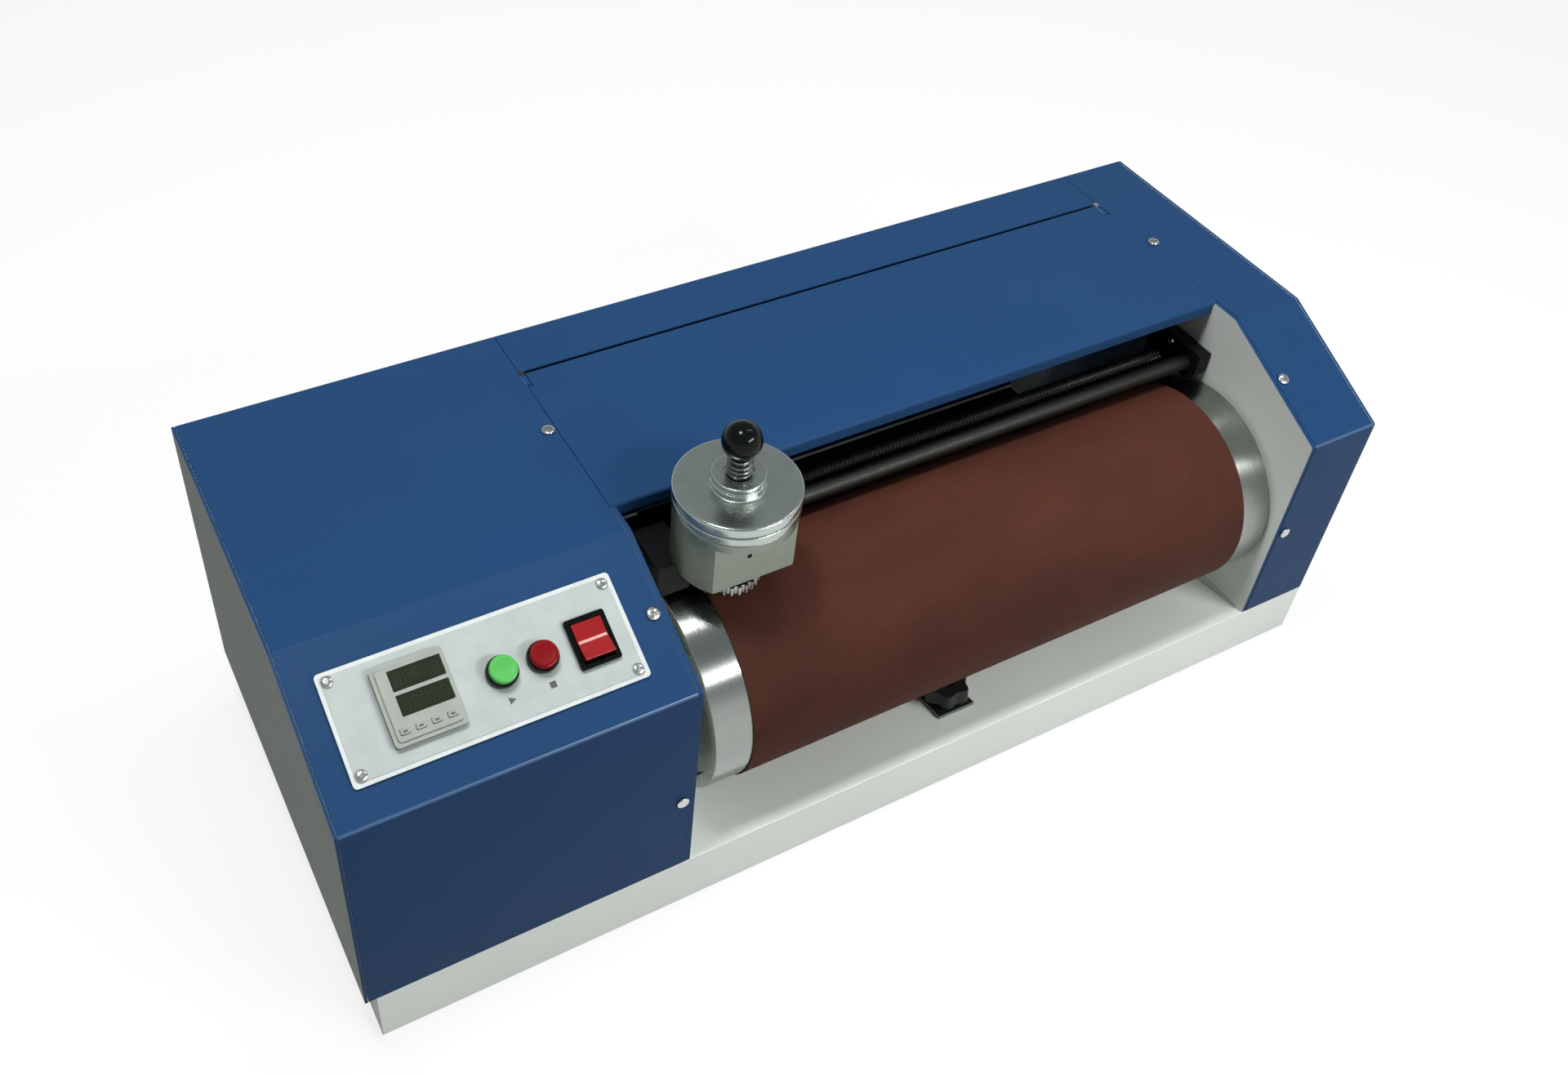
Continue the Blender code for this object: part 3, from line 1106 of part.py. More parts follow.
def make_knob(trough, seat):
    """A lobed knob with its stud, standing on the brush's foot."""
    centre = (KNOB_X, KNOB_DOWN)
    steps = KNOB_LOBES * 6
    lobes = []
    for i in range(steps):
        a = 2 * pi * i / steps
        r = KNOB_RADIUS * (0.9 + 0.1 * cos(KNOB_LOBES * a))
        lobes.append((centre[0] + r * cos(a), centre[1] + r * sin(a)))
    bm = bmesh.new()
    add_prism(bm, lobes, seat + 4.0, seat + 15.0, "Z")
    knob = piece("brush_clamp_knob", bm, PLASTIC, (*centre, seat), trough)
    add_to(knob, bore_tool("knob_collar", centre, 7.0, seat, seat + 5.0, "Z", parent=trough),
           bore_tool("knob_stud", centre, STUD_RADIUS, GAP, seat + 1.0, "Z", sides=SMALL, parent=trough))


# ---- Assembly --------------------------------------------------------------------------

def main():
    slope = empty("slope_frame", (0, Y_FRONT, BEND_HEIGHT), SLOPE_ANGLE)
    trough = empty("trough_frame", (0, Y_FRONT + TROUGH_FRONT, BASE_HEIGHT), TROUGH_ANGLE)
    make_base()
    left_cover = make_cover("left_cover", X_LEFT + END_PLATE + GAP, X_LEFT_EDGE)
    right_cover = make_cover("right_cover", X_RIGHT_EDGE, X_RIGHT - END_PLATE - GAP)
    make_end_plates()
    make_walls()
    make_rear_cover()
    make_lid()
    make_cover_screws(left_cover, right_cover)
    make_drum()
    make_bearings()
    make_drive()
    make_motor()
    make_traverse()
    make_carriage()
    make_arm()
    make_holder()
    make_spindle()
    make_panel(slope, left_cover)
    make_inlet(left_cover)
    make_board()
    make_brush(trough)


main()
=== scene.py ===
"""Looks of the rotary drum abrasion tester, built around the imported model.

Sizes and places are in millimetres and come from the frame's boxes. MM turns them into metres.
"""

from math import acos, atan2, cos, hypot, pi, radians, sin, tan

import bmesh
import bpy
from mathutils import Matrix, Vector


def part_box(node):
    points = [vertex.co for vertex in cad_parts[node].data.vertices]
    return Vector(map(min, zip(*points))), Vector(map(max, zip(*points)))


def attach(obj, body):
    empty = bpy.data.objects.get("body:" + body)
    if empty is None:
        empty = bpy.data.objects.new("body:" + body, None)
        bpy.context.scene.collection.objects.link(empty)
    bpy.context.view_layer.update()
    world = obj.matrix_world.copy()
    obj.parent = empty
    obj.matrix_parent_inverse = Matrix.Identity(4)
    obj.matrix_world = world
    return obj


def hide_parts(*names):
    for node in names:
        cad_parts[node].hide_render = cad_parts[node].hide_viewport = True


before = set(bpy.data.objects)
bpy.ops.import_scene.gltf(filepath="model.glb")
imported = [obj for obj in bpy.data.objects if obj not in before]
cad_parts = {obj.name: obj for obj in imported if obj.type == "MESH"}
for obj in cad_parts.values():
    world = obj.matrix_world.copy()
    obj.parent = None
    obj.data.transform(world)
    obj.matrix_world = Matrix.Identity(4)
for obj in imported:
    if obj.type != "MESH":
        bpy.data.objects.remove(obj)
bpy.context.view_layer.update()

MM = 0.001
GAP = 0.3
WELD = 0.002        # points nearer than this become one
FINE = 192          # sides of the drum
ROUND = 96          # sides of the holder and other turned pieces
SMALL = 32          # sides of screws and studs

SLOPE_RUN = 96.0
SLOPE_RISE = 45.0
COVER_SHEET = 1.5
COVER_BEND = 2.5
COVER_EDGE = 0.35   # how far a sheet's edges are softened
END_PLATE = 2.0
PLATE_EDGE = 0.3
END_INSET = 0.03    # keeps the softened plates inside the CAD box
WALL = 3.0
FLANGE_WIDTH = 14.0
FLANGE_SHEET = 2.0
FLANGE_LIFT = 3.0
BASE_SHEET = 2.0
BASE_FLANGE = 18.0
BASE_INSET = 0.05
TROUGH_DEPTH = 12.0
TROUGH_FRONT = 2.5
LID_LIP = 9.0
LID_SIDE_GAP = 0.6  # from the bearing walls
LID_CHEEK = 1.5     # thickness of its two ends
PIN_RADIUS = 2.0
BEARING_HOLE = 17.5
SCREW_PASSAGE = 8.0  # lets the lead screw through the left wall
SCREW_HOLE = 2.2
SCREW_RECESS = 0.9
END_SCREW_HOLE = 2.8
SUPPORT_RIM = 7.0   # round the guide rod
THREAD_PITCH = 3.0
THREAD_DEPTH = 1.1
INLET_WIDTH = 27.0  # of the part behind the cover
INLET_HEIGHT = 20.0
HOLDER_BORE = 5.3
STUD = 4.0          # radius of the spindle's ends
ARM_BORE = 9.9      # clears the chuck's hub
CHUCK_HUB = 9.6
NOSE_RADIUS = 11.0
DRUM_WALL = 6.0
FLAT_DEPTH = 26.0   # from the holder's axis to its flats
KNOB_UP = 34.0      # the clamp knob's place up the trough
KNOB_RADIUS = 17.0
BRUSH_FOOT = 2.5    # thickness of the foot under the knob

# Screws: radius of the head, its rise, radius of the shank, and how far that reaches.
COVER_SCREW = (4.2, 2.35, 1.9, 7.8)
PANEL_SCREW = (3.3, 1.8, 1.5, 1.0)
SUPPORT_SCREW = (2.9, 1.9, 1.2, 2.0)
INLET_SCREW = (1.8, 1.5, 1.2, 0.3)


def span(node):
    """Lowest and highest corner of a CAD node, in millimetres."""
    low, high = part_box(node)
    return low / MM, high / MM


def middle(node):
    low, high = span(node)
    return (low + high) / 2


def radius_of(node, side="x"):
    low, high = span(node)
    return (getattr(high, side) - getattr(low, side)) / 2


X_LEFT = span("left_end_plate")[0].x
X_RIGHT = span("right_end_plate")[1].x
Y_FRONT, Y_BACK = span("base_tray")[0].y, span("base_tray")[1].y
BASE_TOP = span("base_tray")[1].z
COVER_BOTTOM = span("left_cover")[0].z
HEIGHT = span("left_cover")[1].z
BEND_HEIGHT = HEIGHT - SLOPE_RISE
SLOPE_ANGLE = atan2(SLOPE_RISE, SLOPE_RUN)
X_LEFT_WALL = span("left_bearing_wall")[1].x
X_RIGHT_WALL = span("right_bearing_wall")[0].x
DRUM_AXIS = middle("drum_shell").yz
HOLDER_AXIS = middle("load_weight").xy
CLOTH_TOP = span("abrasive_cloth")[1].z
LID_AXIS = middle("lid_hinge_pin_left").yz
TROUGH_FOOT_Y = DRUM_AXIS.x - 14.5
TROUGH_BACK_Y = DRUM_AXIS.x + 54.0


# ---- Shapes ----

AXES = {"X": (1, 2, 0), "Y": (0, 2, 1), "Z": (0, 1, 2)}


def point(axis, across, up, along):
    place = [0.0, 0.0, 0.0]
    first, second, third = AXES[axis]
    place[first], place[second], place[third] = across, up, along
    return place


def bridge(bm, one, two):
    """Faces between two rings, either of which may be a single point."""
    sides = max(len(one), len(two))
    for i in range(sides):
        j = (i + 1) % sides
        corners = [one[i % len(one)], one[j % len(one)], two[j % len(two)], two[i % len(two)]]
        bm.faces.new(list(dict.fromkeys(corners)))


def add_prism(bm, outline, start, end, axis="X"):
    """A closed outline in the plane across the axis, swept from start to end."""
    low = [bm.verts.new(point(axis, a, b, start)) for a, b in outline]
    high = [bm.verts.new(point(axis, a, b, end)) for a, b in outline]
    bm.faces.new(low)
    bm.faces.new(high)
    bridge(bm, low, high)


def add_box(bm, x0, x1, y0, y1, z0, z1):
    add_prism(bm, [(y0, z0), (y1, z0), (y1, z1), (y0, z1)], x0, x1)


def polar(centre, radius, angle):
    return centre[0] + radius * cos(angle), centre[1] + radius * sin(angle)


def circle(centre, radius, sides):
    return [polar(centre, radius, 2 * pi * i / sides) for i in range(sides)]


def arc(centre, radius, start, stop, step=6):
    """Points round a centre, between two angles in degrees."""
    return [polar(centre, radius, radians(a)) for a in range(start, stop + 1, step)]


def add_turned(bm, profile, centre, axis="X", sides=ROUND, closed=False):
    """A profile of (radius, along) points turned round an axis. A closed one makes a ring."""
    rings = []
    for radius, along in profile:
        if radius <= 0:
            rings.append([bm.verts.new(point(axis, *centre, along))])
        else:
            rings.append([bm.verts.new(point(axis, a, b, along))
                          for a, b in circle(centre, radius, sides)])
    if closed:
        rings.append(rings[0])
    for one, two in zip(rings, rings[1:]):
        bridge(bm, one, two)


def soften(points, radius, steps=4, closed=True):
    """A polygon with each corner rounded, by less where its sides are short."""
    count = len(points)
    rounded = []
    for i in range(count):
        if not closed and i in (0, count - 1):
            rounded.append(tuple(points[i]))
            continue
        corner = Vector(points[i])
        before, after = Vector(points[i - 1]) - corner, Vector(points[(i + 1) % count]) - corner
        a, b = before.normalized(), after.normalized()
        half = acos(max(-1.0, min(1.0, a.dot(b)))) / 2
        if half > radians(88):
            rounded.append(tuple(corner))
            continue
        reach = min(radius / tan(half), 0.45 * before.length, 0.45 * after.length)
        size = reach * tan(half)
        centre = corner + (a + b).normalized() * (size / sin(half))
        start = (corner + a * reach - centre).normalized()
        stop = (corner + b * reach - centre).normalized()
        for k in range(steps + 1):
            rounded.append(tuple(centre + start.slerp(stop, k / steps) * size))
    return rounded


def bar_profile(radius, start, end, rounding):
    """The profile of a round bar with softened ends, from its axis back to its axis."""
    return soften([(0, start), (radius, start), (radius, end), (0, end)], rounding, closed=False)


def inset(points, distance):
    """An open profile moved inwards, its two ends kept level."""
    lines = []
    for (y0, z0), (y1, z1) in zip(points, points[1:]):
        size = hypot(y1 - y0, z1 - z0)
        dy, dz = (y1 - y0) / size, (z1 - z0) / size
        lines.append(((y0 + dz * distance, z0 - dy * distance), (dy, dz)))
    moved = [lines[0][0]]
    for (p, d), (q, e) in zip(lines, lines[1:]):
        cross = d[0] * e[1] - d[1] * e[0]
        t = ((q[0] - p[0]) * e[1] - (q[1] - p[1]) * e[0]) / cross
        moved.append((p[0] + d[0] * t, p[1] + d[1] * t))
    (y, z), (dy, dz) = lines[-1]
    size = hypot(points[-1][0] - points[-2][0], points[-1][1] - points[-2][1])
    moved.append((y + dy * size, z + dz * size))
    return moved


def sheet_outline(points, thickness, radius, steps=8):
    """The closed outline of a bent sheet whose outer face follows the points."""
    outer = soften(points, radius, steps, closed=False)
    inner = soften(inset(points, thickness), max(radius - thickness, 0.4), steps, closed=False)
    return outer + inner[::-1]


def side_profile():
    return [(Y_FRONT, COVER_BOTTOM), (Y_FRONT, BEND_HEIGHT), (Y_FRONT + SLOPE_RUN, HEIGHT),
            (Y_BACK, HEIGHT), (Y_BACK, COVER_BOTTOM)]


def corners_of(x, up, width, height):
    w, h = width / 2, height / 2
    return [(x - w, up - h), (x + w, up - h), (x + w, up + h), (x - w, up + h)]


def move(x, y, z):
    return Matrix.Translation((x * MM, y * MM, z * MM))


def turn(angle, axis):
    return Matrix.Rotation(angle, 4, axis)


def mesh_object(name, bm, matrix=None):
    bmesh.ops.scale(bm, vec=(MM, MM, MM), verts=bm.verts)
    if matrix is not None:
        bm.transform(matrix)
    bmesh.ops.recalc_face_normals(bm, faces=bm.faces)
    mesh = bpy.data.meshes.new(name)
    bm.to_mesh(mesh)
    bm.free()
    made = bpy.data.objects.new(name, mesh)
    bpy.context.scene.collection.objects.link(made)
    return made


def solid(name, add, *sizes, matrix=None, **more):
    """An object made by one of the add_ functions."""
    bm = bmesh.new()
    add(bm, *sizes, **more)
    return mesh_object(name, bm, matrix)


def shape(add, *sizes, **more):
    """A helper object, to cut or to join."""
    return solid("helper", add, *sizes, **more)


def bar(centre, radius, start, end, axis="X", sides=SMALL, matrix=None):
    """A round helper object."""
    return shape(add_prism, circle(centre, radius, sides), start, end, axis, matrix=matrix)


def bit(radius, start, end, matrix):
    """A round helper object along a matrix's own +Z."""
    profile = [(0, start), (radius, start), (radius, end), (0, end)]
    return shape(add_turned, profile, (0, 0), "Z", SMALL, matrix=matrix)


def combine(target, others, operation):
    """Cuts or joins the others, which are then removed, and welds the slivers that this leaves."""
    for other in others:
        step = target.modifiers.new("step", "BOOLEAN")
        step.operation = operation
        step.solver = "EXACT"
        step.object = other
    graph = bpy.context.evaluated_depsgraph_get()
    mesh = bpy.data.meshes.new_from_object(target.evaluated_get(graph))
    bm = bmesh.new()
    bm.from_mesh(mesh)
    bmesh.ops.remove_doubles(bm, verts=bm.verts, dist=WELD * MM)
    bmesh.ops.dissolve_degenerate(bm, edges=bm.edges, dist=WELD * MM)
    bm.to_mesh(mesh)
    bm.free()
    target.modifiers.clear()
    target.data = mesh
    for other in others:
        bpy.data.objects.remove(other, do_unlink=True)


def cut(target, *others):
    combine(target, others, "DIFFERENCE")


def join(target, *others):
    combine(target, others, "UNION")


def piece(made, body, material, node=None, edge=0.0, steps=3, smooth=35):
    """Finishes a piece: its material, its softened edges, its body and the node it stands for."""
    made.data.materials.clear()
    made.data.materials.append(material)
    made.data.shade_smooth()
    made.data.set_sharp_from_angle(angle=radians(smooth))
    if edge:
        bevel = made.modifiers.new("edges", "BEVEL")
        bevel.width = edge * MM
        bevel.segments = steps
        bevel.limit_method = "ANGLE"
        bevel.angle_limit = radians(smooth)
        bevel.harden_normals = True
    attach(made, body)
    if node:
        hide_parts(node)


def paint_faces(made, material, chosen):
    """A second material on the faces whose normals are chosen."""
    made.data.materials.append(material)
    for face in made.data.polygons:
        if chosen(face.normal):
            face.material_index = 1


# ---- Materials ----

def plug(tree, node, numbered=None, **named):
    """Sets or links a node's inputs: some by number, the others by name."""
    inputs = dict(numbered or {})
    inputs.update((key.replace("_", " "), value) for key, value in named.items())
    for key, value in inputs.items():
        if isinstance(value, bpy.types.NodeSocket):
            tree.links.new(value, node.inputs[key])
        else:
            node.inputs[key].default_value = value


def add_node(tree, kind, settings=None, numbered=None, **named):
    made = tree.nodes.new("ShaderNode" + kind)
    for key, value in (settings or {}).items():
        setattr(made, key, value)
    plug(tree, made, numbered, **named)
    return made


def maths(tree, operation, one, two):
    return add_node(tree, "Math", {"operation": operation}, {0: one, 1: two}).outputs["Value"]


def mix(tree, share, one, two, blend="MIX"):
    """The Mix node's colours are its inputs 6 and 7, and its output 2."""
    return add_node(tree, "Mix", {"data_type": "RGBA", "blend_type": blend}, {6: one, 7: two},
                    Factor=share).outputs[2]


def new_material(name, colour, roughness, metallic=0.0, specular=0.5):
    made = bpy.data.materials.new(name)
    made.use_nodes = True
    tree = made.node_tree
    shader = tree.nodes["Principled BSDF"]
    plug(tree, shader, Base_Color=(*colour, 1.0), Roughness=roughness, Metallic=metallic,
         Specular_IOR_Level=specular)
    return made, tree, shader


def noise(tree, scale, detail=2.0, stretch=(1.0, 1.0, 1.0), roughness=0.5):
    """Noise in the piece's own space. Scale is in features per metre."""
    where = add_node(tree, "TexCoord").outputs["Object"]
    mapped = add_node(tree, "Mapping", Vector=where, Scale=stretch).outputs["Vector"]
    return add_node(tree, "TexNoise", Vector=mapped, Scale=scale, Detail=detail,
                    Roughness=roughness).outputs["Fac"]


def remap(tree, value, low, high, start=0.3, stop=0.7):
    return add_node(tree, "MapRange", Value=value, From_Min=start, From_Max=stop, To_Min=low,
                    To_Max=high).outputs["Result"]


def tint(tree, value, dark, light, start=0.3, stop=0.7):
    """A colour between two, by a noise value."""
    ramp = add_node(tree, "ValToRGB", Fac=value)
    ends = ramp.color_ramp.elements
    ends[0].position, ends[1].position = start, stop
    ends[0].color, ends[1].color = (*dark, 1.0), (*light, 1.0)
    return ramp.outputs["Color"]


def bump(tree, shader, height, depth, strength=0.4):
    made = add_node(tree, "Bump", Height=height, Strength=strength, Distance=depth * MM)
    plug(tree, shader, Normal=made.outputs["Normal"])


def shades(colour, spread):
    return ([c * (1 - spread) for c in colour], [min(1.0, c * (1 + spread)) for c in colour])


def powder_coat(name, colour, roughness, peel=0.05, specular=0.4):
    """Paint with a fine orange peel and a slow drift of tone and gloss."""
    made, tree, shader = new_material(name, colour, roughness, specular=specular)
    plug(tree, shader, Base_Color=tint(tree, noise(tree, 9.0, 3.0), *shades(colour, 0.03)),
         Roughness=remap(tree, noise(tree, 35.0, 4.0), roughness - 0.015, roughness + 0.02))
    bump(tree, shader, noise(tree, 620.0), peel, 0.35)
    return made


def turned_metal(name, colour, roughness, axis="X"):
    """Lathe lines round an axis: the finish changes along it, and hardly round it."""
    made, tree, shader = new_material(name, colour, roughness, 1.0)
    stretch = [0.02, 0.02, 0.02]
    stretch["XYZ".index(axis)] = 1.0
    fine = noise(tree, 2600.0, 3.0, stretch)
    across = add_node(tree, "Tangent", {"direction_type": "RADIAL", "axis": axis})
    plug(tree, shader, Roughness=remap(tree, fine, roughness - 0.02, roughness + 0.03),
         Base_Color=tint(tree, noise(tree, 18.0, 4.0), *shades(colour, 0.06)),
         Anisotropic=0.9, Anisotropic_Rotation=0.25, Tangent=across.outputs["Tangent"])
    bump(tree, shader, fine, 0.002)
    return made


def faced_metal(name, colour, roughness, centre, pitch=0.5):
    """A faced disc: fine rings about a vertical axis on top, and lines round its side."""
    made, tree, shader = new_material(name, colour, roughness, 1.0)
    moved = add_node(tree, "Mapping", Vector=add_node(tree, "TexCoord").outputs["Object"],
                     Location=(-centre[0] * MM, -centre[1] * MM, 0.0))
    parts = add_node(tree, "SeparateXYZ", Vector=moved.outputs["Vector"]).outputs
    flat = add_node(tree, "CombineXYZ", X=parts["X"], Y=parts["Y"]).outputs["Vector"]
    reach = add_node(tree, "VectorMath", {"operation": "LENGTH"}, {0: flat}).outputs["Value"]
    line = add_node(tree, "TexNoise", {"noise_dimensions": "1D"}, W=maths(tree, "ADD", reach, parts["Z"]),
                    Scale=1.0 / (pitch * MM), Detail=3.0).outputs["Fac"]
    plug(tree, shader, Roughness=remap(tree, line, roughness - 0.06, roughness + 0.08),
         Base_Color=tint(tree, noise(tree, 60.0, 4.0), *shades(colour, 0.06)))
    bump(tree, shader, line, 0.01)
    return made


def plain_metal(name, colour, roughness):
    made, tree, shader = new_material(name, colour, roughness, 1.0)
    plug(tree, shader, Roughness=remap(tree, noise(tree, 220.0, 4.0), roughness - 0.05, roughness + 0.08))
    bump(tree, shader, noise(tree, 900.0), 0.006, 0.3)
    return made


def plastic(name, colour, roughness, grain=0.0, specular=0.5):
    made, tree, shader = new_material(name, colour, roughness, specular=specular)
    plug(tree, shader, Base_Color=tint(tree, noise(tree, 90.0, 3.0), *shades(colour, 0.05)),
         Roughness=remap(tree, noise(tree, 260.0, 3.0), roughness - 0.03, roughness + 0.05))
    if grain:
        bump(tree, shader, noise(tree, 1500.0), grain)
    return made


def abrasive(name, colour=(0.058, 0.0185, 0.0115)):
    """Aluminium oxide grit on a dark red-brown backing, worn in blotches."""
    made, tree, shader = new_material(name, colour, 0.82, specular=0.15)
    grit = noise(tree, 2600.0, 2.0, roughness=0.7)
    grain = tint(tree, grit, *shades(colour, 0.45), 0.32, 0.68)
    blotch = noise(tree, 26.0, 5.0, (0.6, 1.0, 1.0))
    drift = tint(tree, blotch, (0.86, 0.86, 0.88), (1.08, 1.06, 1.0), 0.35, 0.65)
    plug(tree, shader, Base_Color=mix(tree, 1.0, grain, drift, "MULTIPLY"))
    bump(tree, shader, grit, 0.22, 0.75)
    return made


BLUE = powder_coat("blue_powder_coat", (0.0130, 0.0455, 0.119), 0.42, specular=0.05)
# The lighter blue of the bend is a painted highlight; its higher gloss is real.
BLUE_BEND_HIGHLIGHT = powder_coat("blue_bend_painted_highlight", (0.030, 0.085, 0.190), 0.30, specular=0.5)
GREY = powder_coat("grey_powder_coat", (0.78, 0.83, 0.775), 0.45, specular=0.25)
# A matt copy of the grey coat for the end plates; its darker tone is painted shade of the dim left side.
END_GREY_SHADED = powder_coat("matt_grey_coat_painted_shade", (0.72, 0.78, 0.72), 0.7, specular=0.02)
DRUM_METAL = turned_metal("turned_aluminium", (0.33, 0.35, 0.33), 0.27)
HOLDER_METAL = faced_metal("faced_aluminium", (0.47, 0.52, 0.485), 0.24, HOLDER_AXIS)
BODY_METAL = plain_metal("milled_aluminium", (0.235, 0.265, 0.225), 0.38)
STEEL = plain_metal("ground_steel", (0.55, 0.56, 0.55), 0.24)
ROD_STEEL = plain_metal("ground_rod", (0.040, 0.042, 0.038), 0.52)
NECK_STEEL = plain_metal("worn_steel", (0.22, 0.23, 0.22), 0.24)
DARK_STEEL = plain_metal("dark_oxide_steel", (0.10, 0.10, 0.10), 0.35)
CHROME = plain_metal("nickel_plate", (0.58, 0.59, 0.58), 0.22)
BLACK = powder_coat("black_coating", (0.006, 0.006, 0.007), 0.38, 0.03, specular=0.12)
GLOSS_BLACK = plastic("gloss_black_plastic", (0.002, 0.003, 0.003), 0.12, specular=0.16)
MATTE_BLACK = plastic("matte_black_plastic", (0.014, 0.016, 0.015), 0.42, 0.02, specular=0.3)
RUBBER = plastic("black_rubber", (0.022, 0.022, 0.022), 0.75, 0.03)
CLOTH = abrasive("abrasive_cloth_grit")
PANEL = plastic("panel_film", (0.345, 0.385, 0.375), 0.36, 0.01, specular=0.3)
PANEL_EDGE = plastic("panel_plate_grey", (0.50, 0.54, 0.53), 0.32, specular=0.3)
CASE = plastic("counter_plastic", (0.26, 0.285, 0.255), 0.42, 0.01, specular=0.3)
KEYS = plastic("key_rubber", (0.26, 0.285, 0.255), 0.5, specular=0.3)
PRINT = plastic("dark_print", (0.05, 0.055, 0.05), 0.5)
WINDOW = plastic("display_window", (0.014, 0.019, 0.010), 0.12, specular=0.3)
SEGMENT = plastic("display_segment", (0.021, 0.027, 0.016), 0.2, specular=0.3)
GREEN = plastic("green_button", (0.065, 0.36, 0.066), 0.30, specular=0.3)
RED = plastic("red_button", (0.160, 0.003, 0.005), 0.28, specular=0.12)
LENS_RED = plastic("red_rocker", (0.24, 0.007, 0.009), 0.10)
# A pale pinkish red: a painted highlight along the rocker's crease.
RIDGE_HIGHLIGHT_RED = plastic("red_ridge_painted_highlight", (0.62, 0.30, 0.28), 0.25)
BOARD_GREEN = plastic("board_green", (0.01, 0.09, 0.03), 0.4)
BRISTLE = plastic("nylon_bristles", (0.02, 0.02, 0.02), 0.7, 0.05)


# ---- Sheet metal ----

SLOPE = move(0, Y_FRONT, BEND_HEIGHT) @ turn(SLOPE_ANGLE, "X")
TROUGH_TILT = -atan2(TROUGH_DEPTH, TROUGH_FOOT_Y - Y_FRONT - TROUGH_FRONT)
TROUGH = move(0, Y_FRONT + TROUGH_FRONT, BASE_TOP) @ turn(TROUGH_TILT, "X")


def on_slope(node):
    """The middle and the size of a node in the slope's frame: x, up the slope, and out of it."""
    low, high = span(node)
    centre = SLOPE.inverted() @ ((low + high) / 2 * MM) / MM
    c, s = cos(SLOPE_ANGLE), sin(SLOPE_ANGLE)
    across, rise = high.y - low.y, high.z - low.z
    size = Vector((high.x - low.x, (across * c - rise * s) / (c * c - s * s),
                   (rise * c - across * s) / (c * c - s * s)))
    return centre, size


def screw_place(number):
    """Where a cover screw stands, +Z out of the sheet: on the top, the slope or the front."""
    node = f"cover_screw_{number}"
    x, y, z = middle(node)
    return (move(x, y, HEIGHT), SLOPE @ move(x, on_slope(node)[0].y, 0),
            move(x, Y_FRONT, z) @ turn(pi / 2, "X"))[(number - 1) % 3]


SCREWS = {"left": [screw_place(number) for number in (1, 2, 3)],
          "right": [screw_place(number) for number in (4, 5, 6)]}


def screw_holes(side):
    return [bit(SCREW_HOLE, -8.0, 2.0, place) for place in SCREWS[side]]


def end_screw_places(side):
    """Where the flush screws of an end plate stand, +Z out of the plate."""
    x, angle = (X_LEFT, -pi / 2) if side == "left" else (X_RIGHT, pi / 2)
    return [move(x, y, z) @ turn(angle, "Y")
            for y, z in ((Y_FRONT + 46.0, 176.0), (Y_FRONT + 118.0, 206.0),
                         (Y_BACK - 23.0, 57.0), (Y_FRONT + 23.0, 57.0), (Y_BACK - 23.0, 202.0))]


def is_bend(normal):
    """The bend between the slope and the front: its lighter blue is a painted highlight, and it is glossier.
    """
    return normal.z > 0.2 and normal.y < -0.55


def is_rim(normal):
    """The rim of a plate is blue, like the cover beside it."""
    return abs(normal.x) < 0.5


def make_covers():
    inlet = middle("power_inlet")
    panel, size = on_slope("panel_plate")
    window = shape(add_box, panel.x - size.x / 2 + 12.0, panel.x + size.x / 2 - 8.0,
                   panel.y - size.y / 2 + 8.0, panel.y + size.y / 2 - 8.0, -8.0, 3.0, matrix=SLOPE)
    w, h = INLET_WIDTH / 2 + GAP, INLET_HEIGHT / 2 + GAP
    socket = shape(add_box, inlet.x - w, inlet.x + w, Y_BACK - 5.0, Y_BACK + 5.0, inlet.z - h,
                   inlet.z + h)
    outline = sheet_outline(side_profile(), COVER_SHEET, COVER_BEND)
    for side, openings in (("left", (window, socket)), ("right", ())):
        low, high = span(side + "_cover")
        cover = solid(side + "_cover_skin", add_prism, outline, low.x, high.x)
        cut(cover, *openings, *screw_holes(side))
        piece(cover, "housing", BLUE, side + "_cover", edge=COVER_EDGE)
        # The bend faces get the lighter blue, a painted highlight.
        paint_faces(cover, BLUE_BEND_HIGHLIGHT, is_bend)
    low, high = span("rear_cover")
    points = [(low.y, HEIGHT), (Y_BACK, HEIGHT), (Y_BACK, COVER_BOTTOM)]
    rear = solid("rear_cover_skin", add_prism, sheet_outline(points, COVER_SHEET, COVER_BEND),
                 low.x, high.x)
    piece(rear, "housing", BLUE, "rear_cover", edge=COVER_EDGE)


def flange_prism(start, end):
    """The bent flange that lies under the covers."""
    points = inset(side_profile(), COVER_SHEET + GAP)
    for i in (0, -1):
        points[i] = (points[i][0], COVER_BOTTOM + FLANGE_LIFT)
    outline = sheet_outline(points, FLANGE_SHEET, COVER_BEND)
    return shape(add_prism, outline, *sorted((start, end)))


def make_end_plates():
    outline = soften(side_profile(), COVER_BEND, 8, closed=False)
    for side, x, inward in (("left", X_LEFT + END_INSET, 1), ("right", X_RIGHT - END_INSET, -1)):
        face = x + inward * END_PLATE
        plate = solid(side + "_end_plate_skin", add_prism, outline, *sorted((x, face)))
        join(plate, flange_prism(face - inward, face + inward * FLANGE_WIDTH))
        cut(plate, *[bit(END_SCREW_HOLE, -1.2, 1.0, place) for place in end_screw_places(side)])
        # The end plates' darker grey is painted shade.
        piece(plate, "housing", END_GREY_SHADED, side + "_end_plate", edge=PLATE_EDGE)
        paint_faces(plate, BLUE, is_rim)


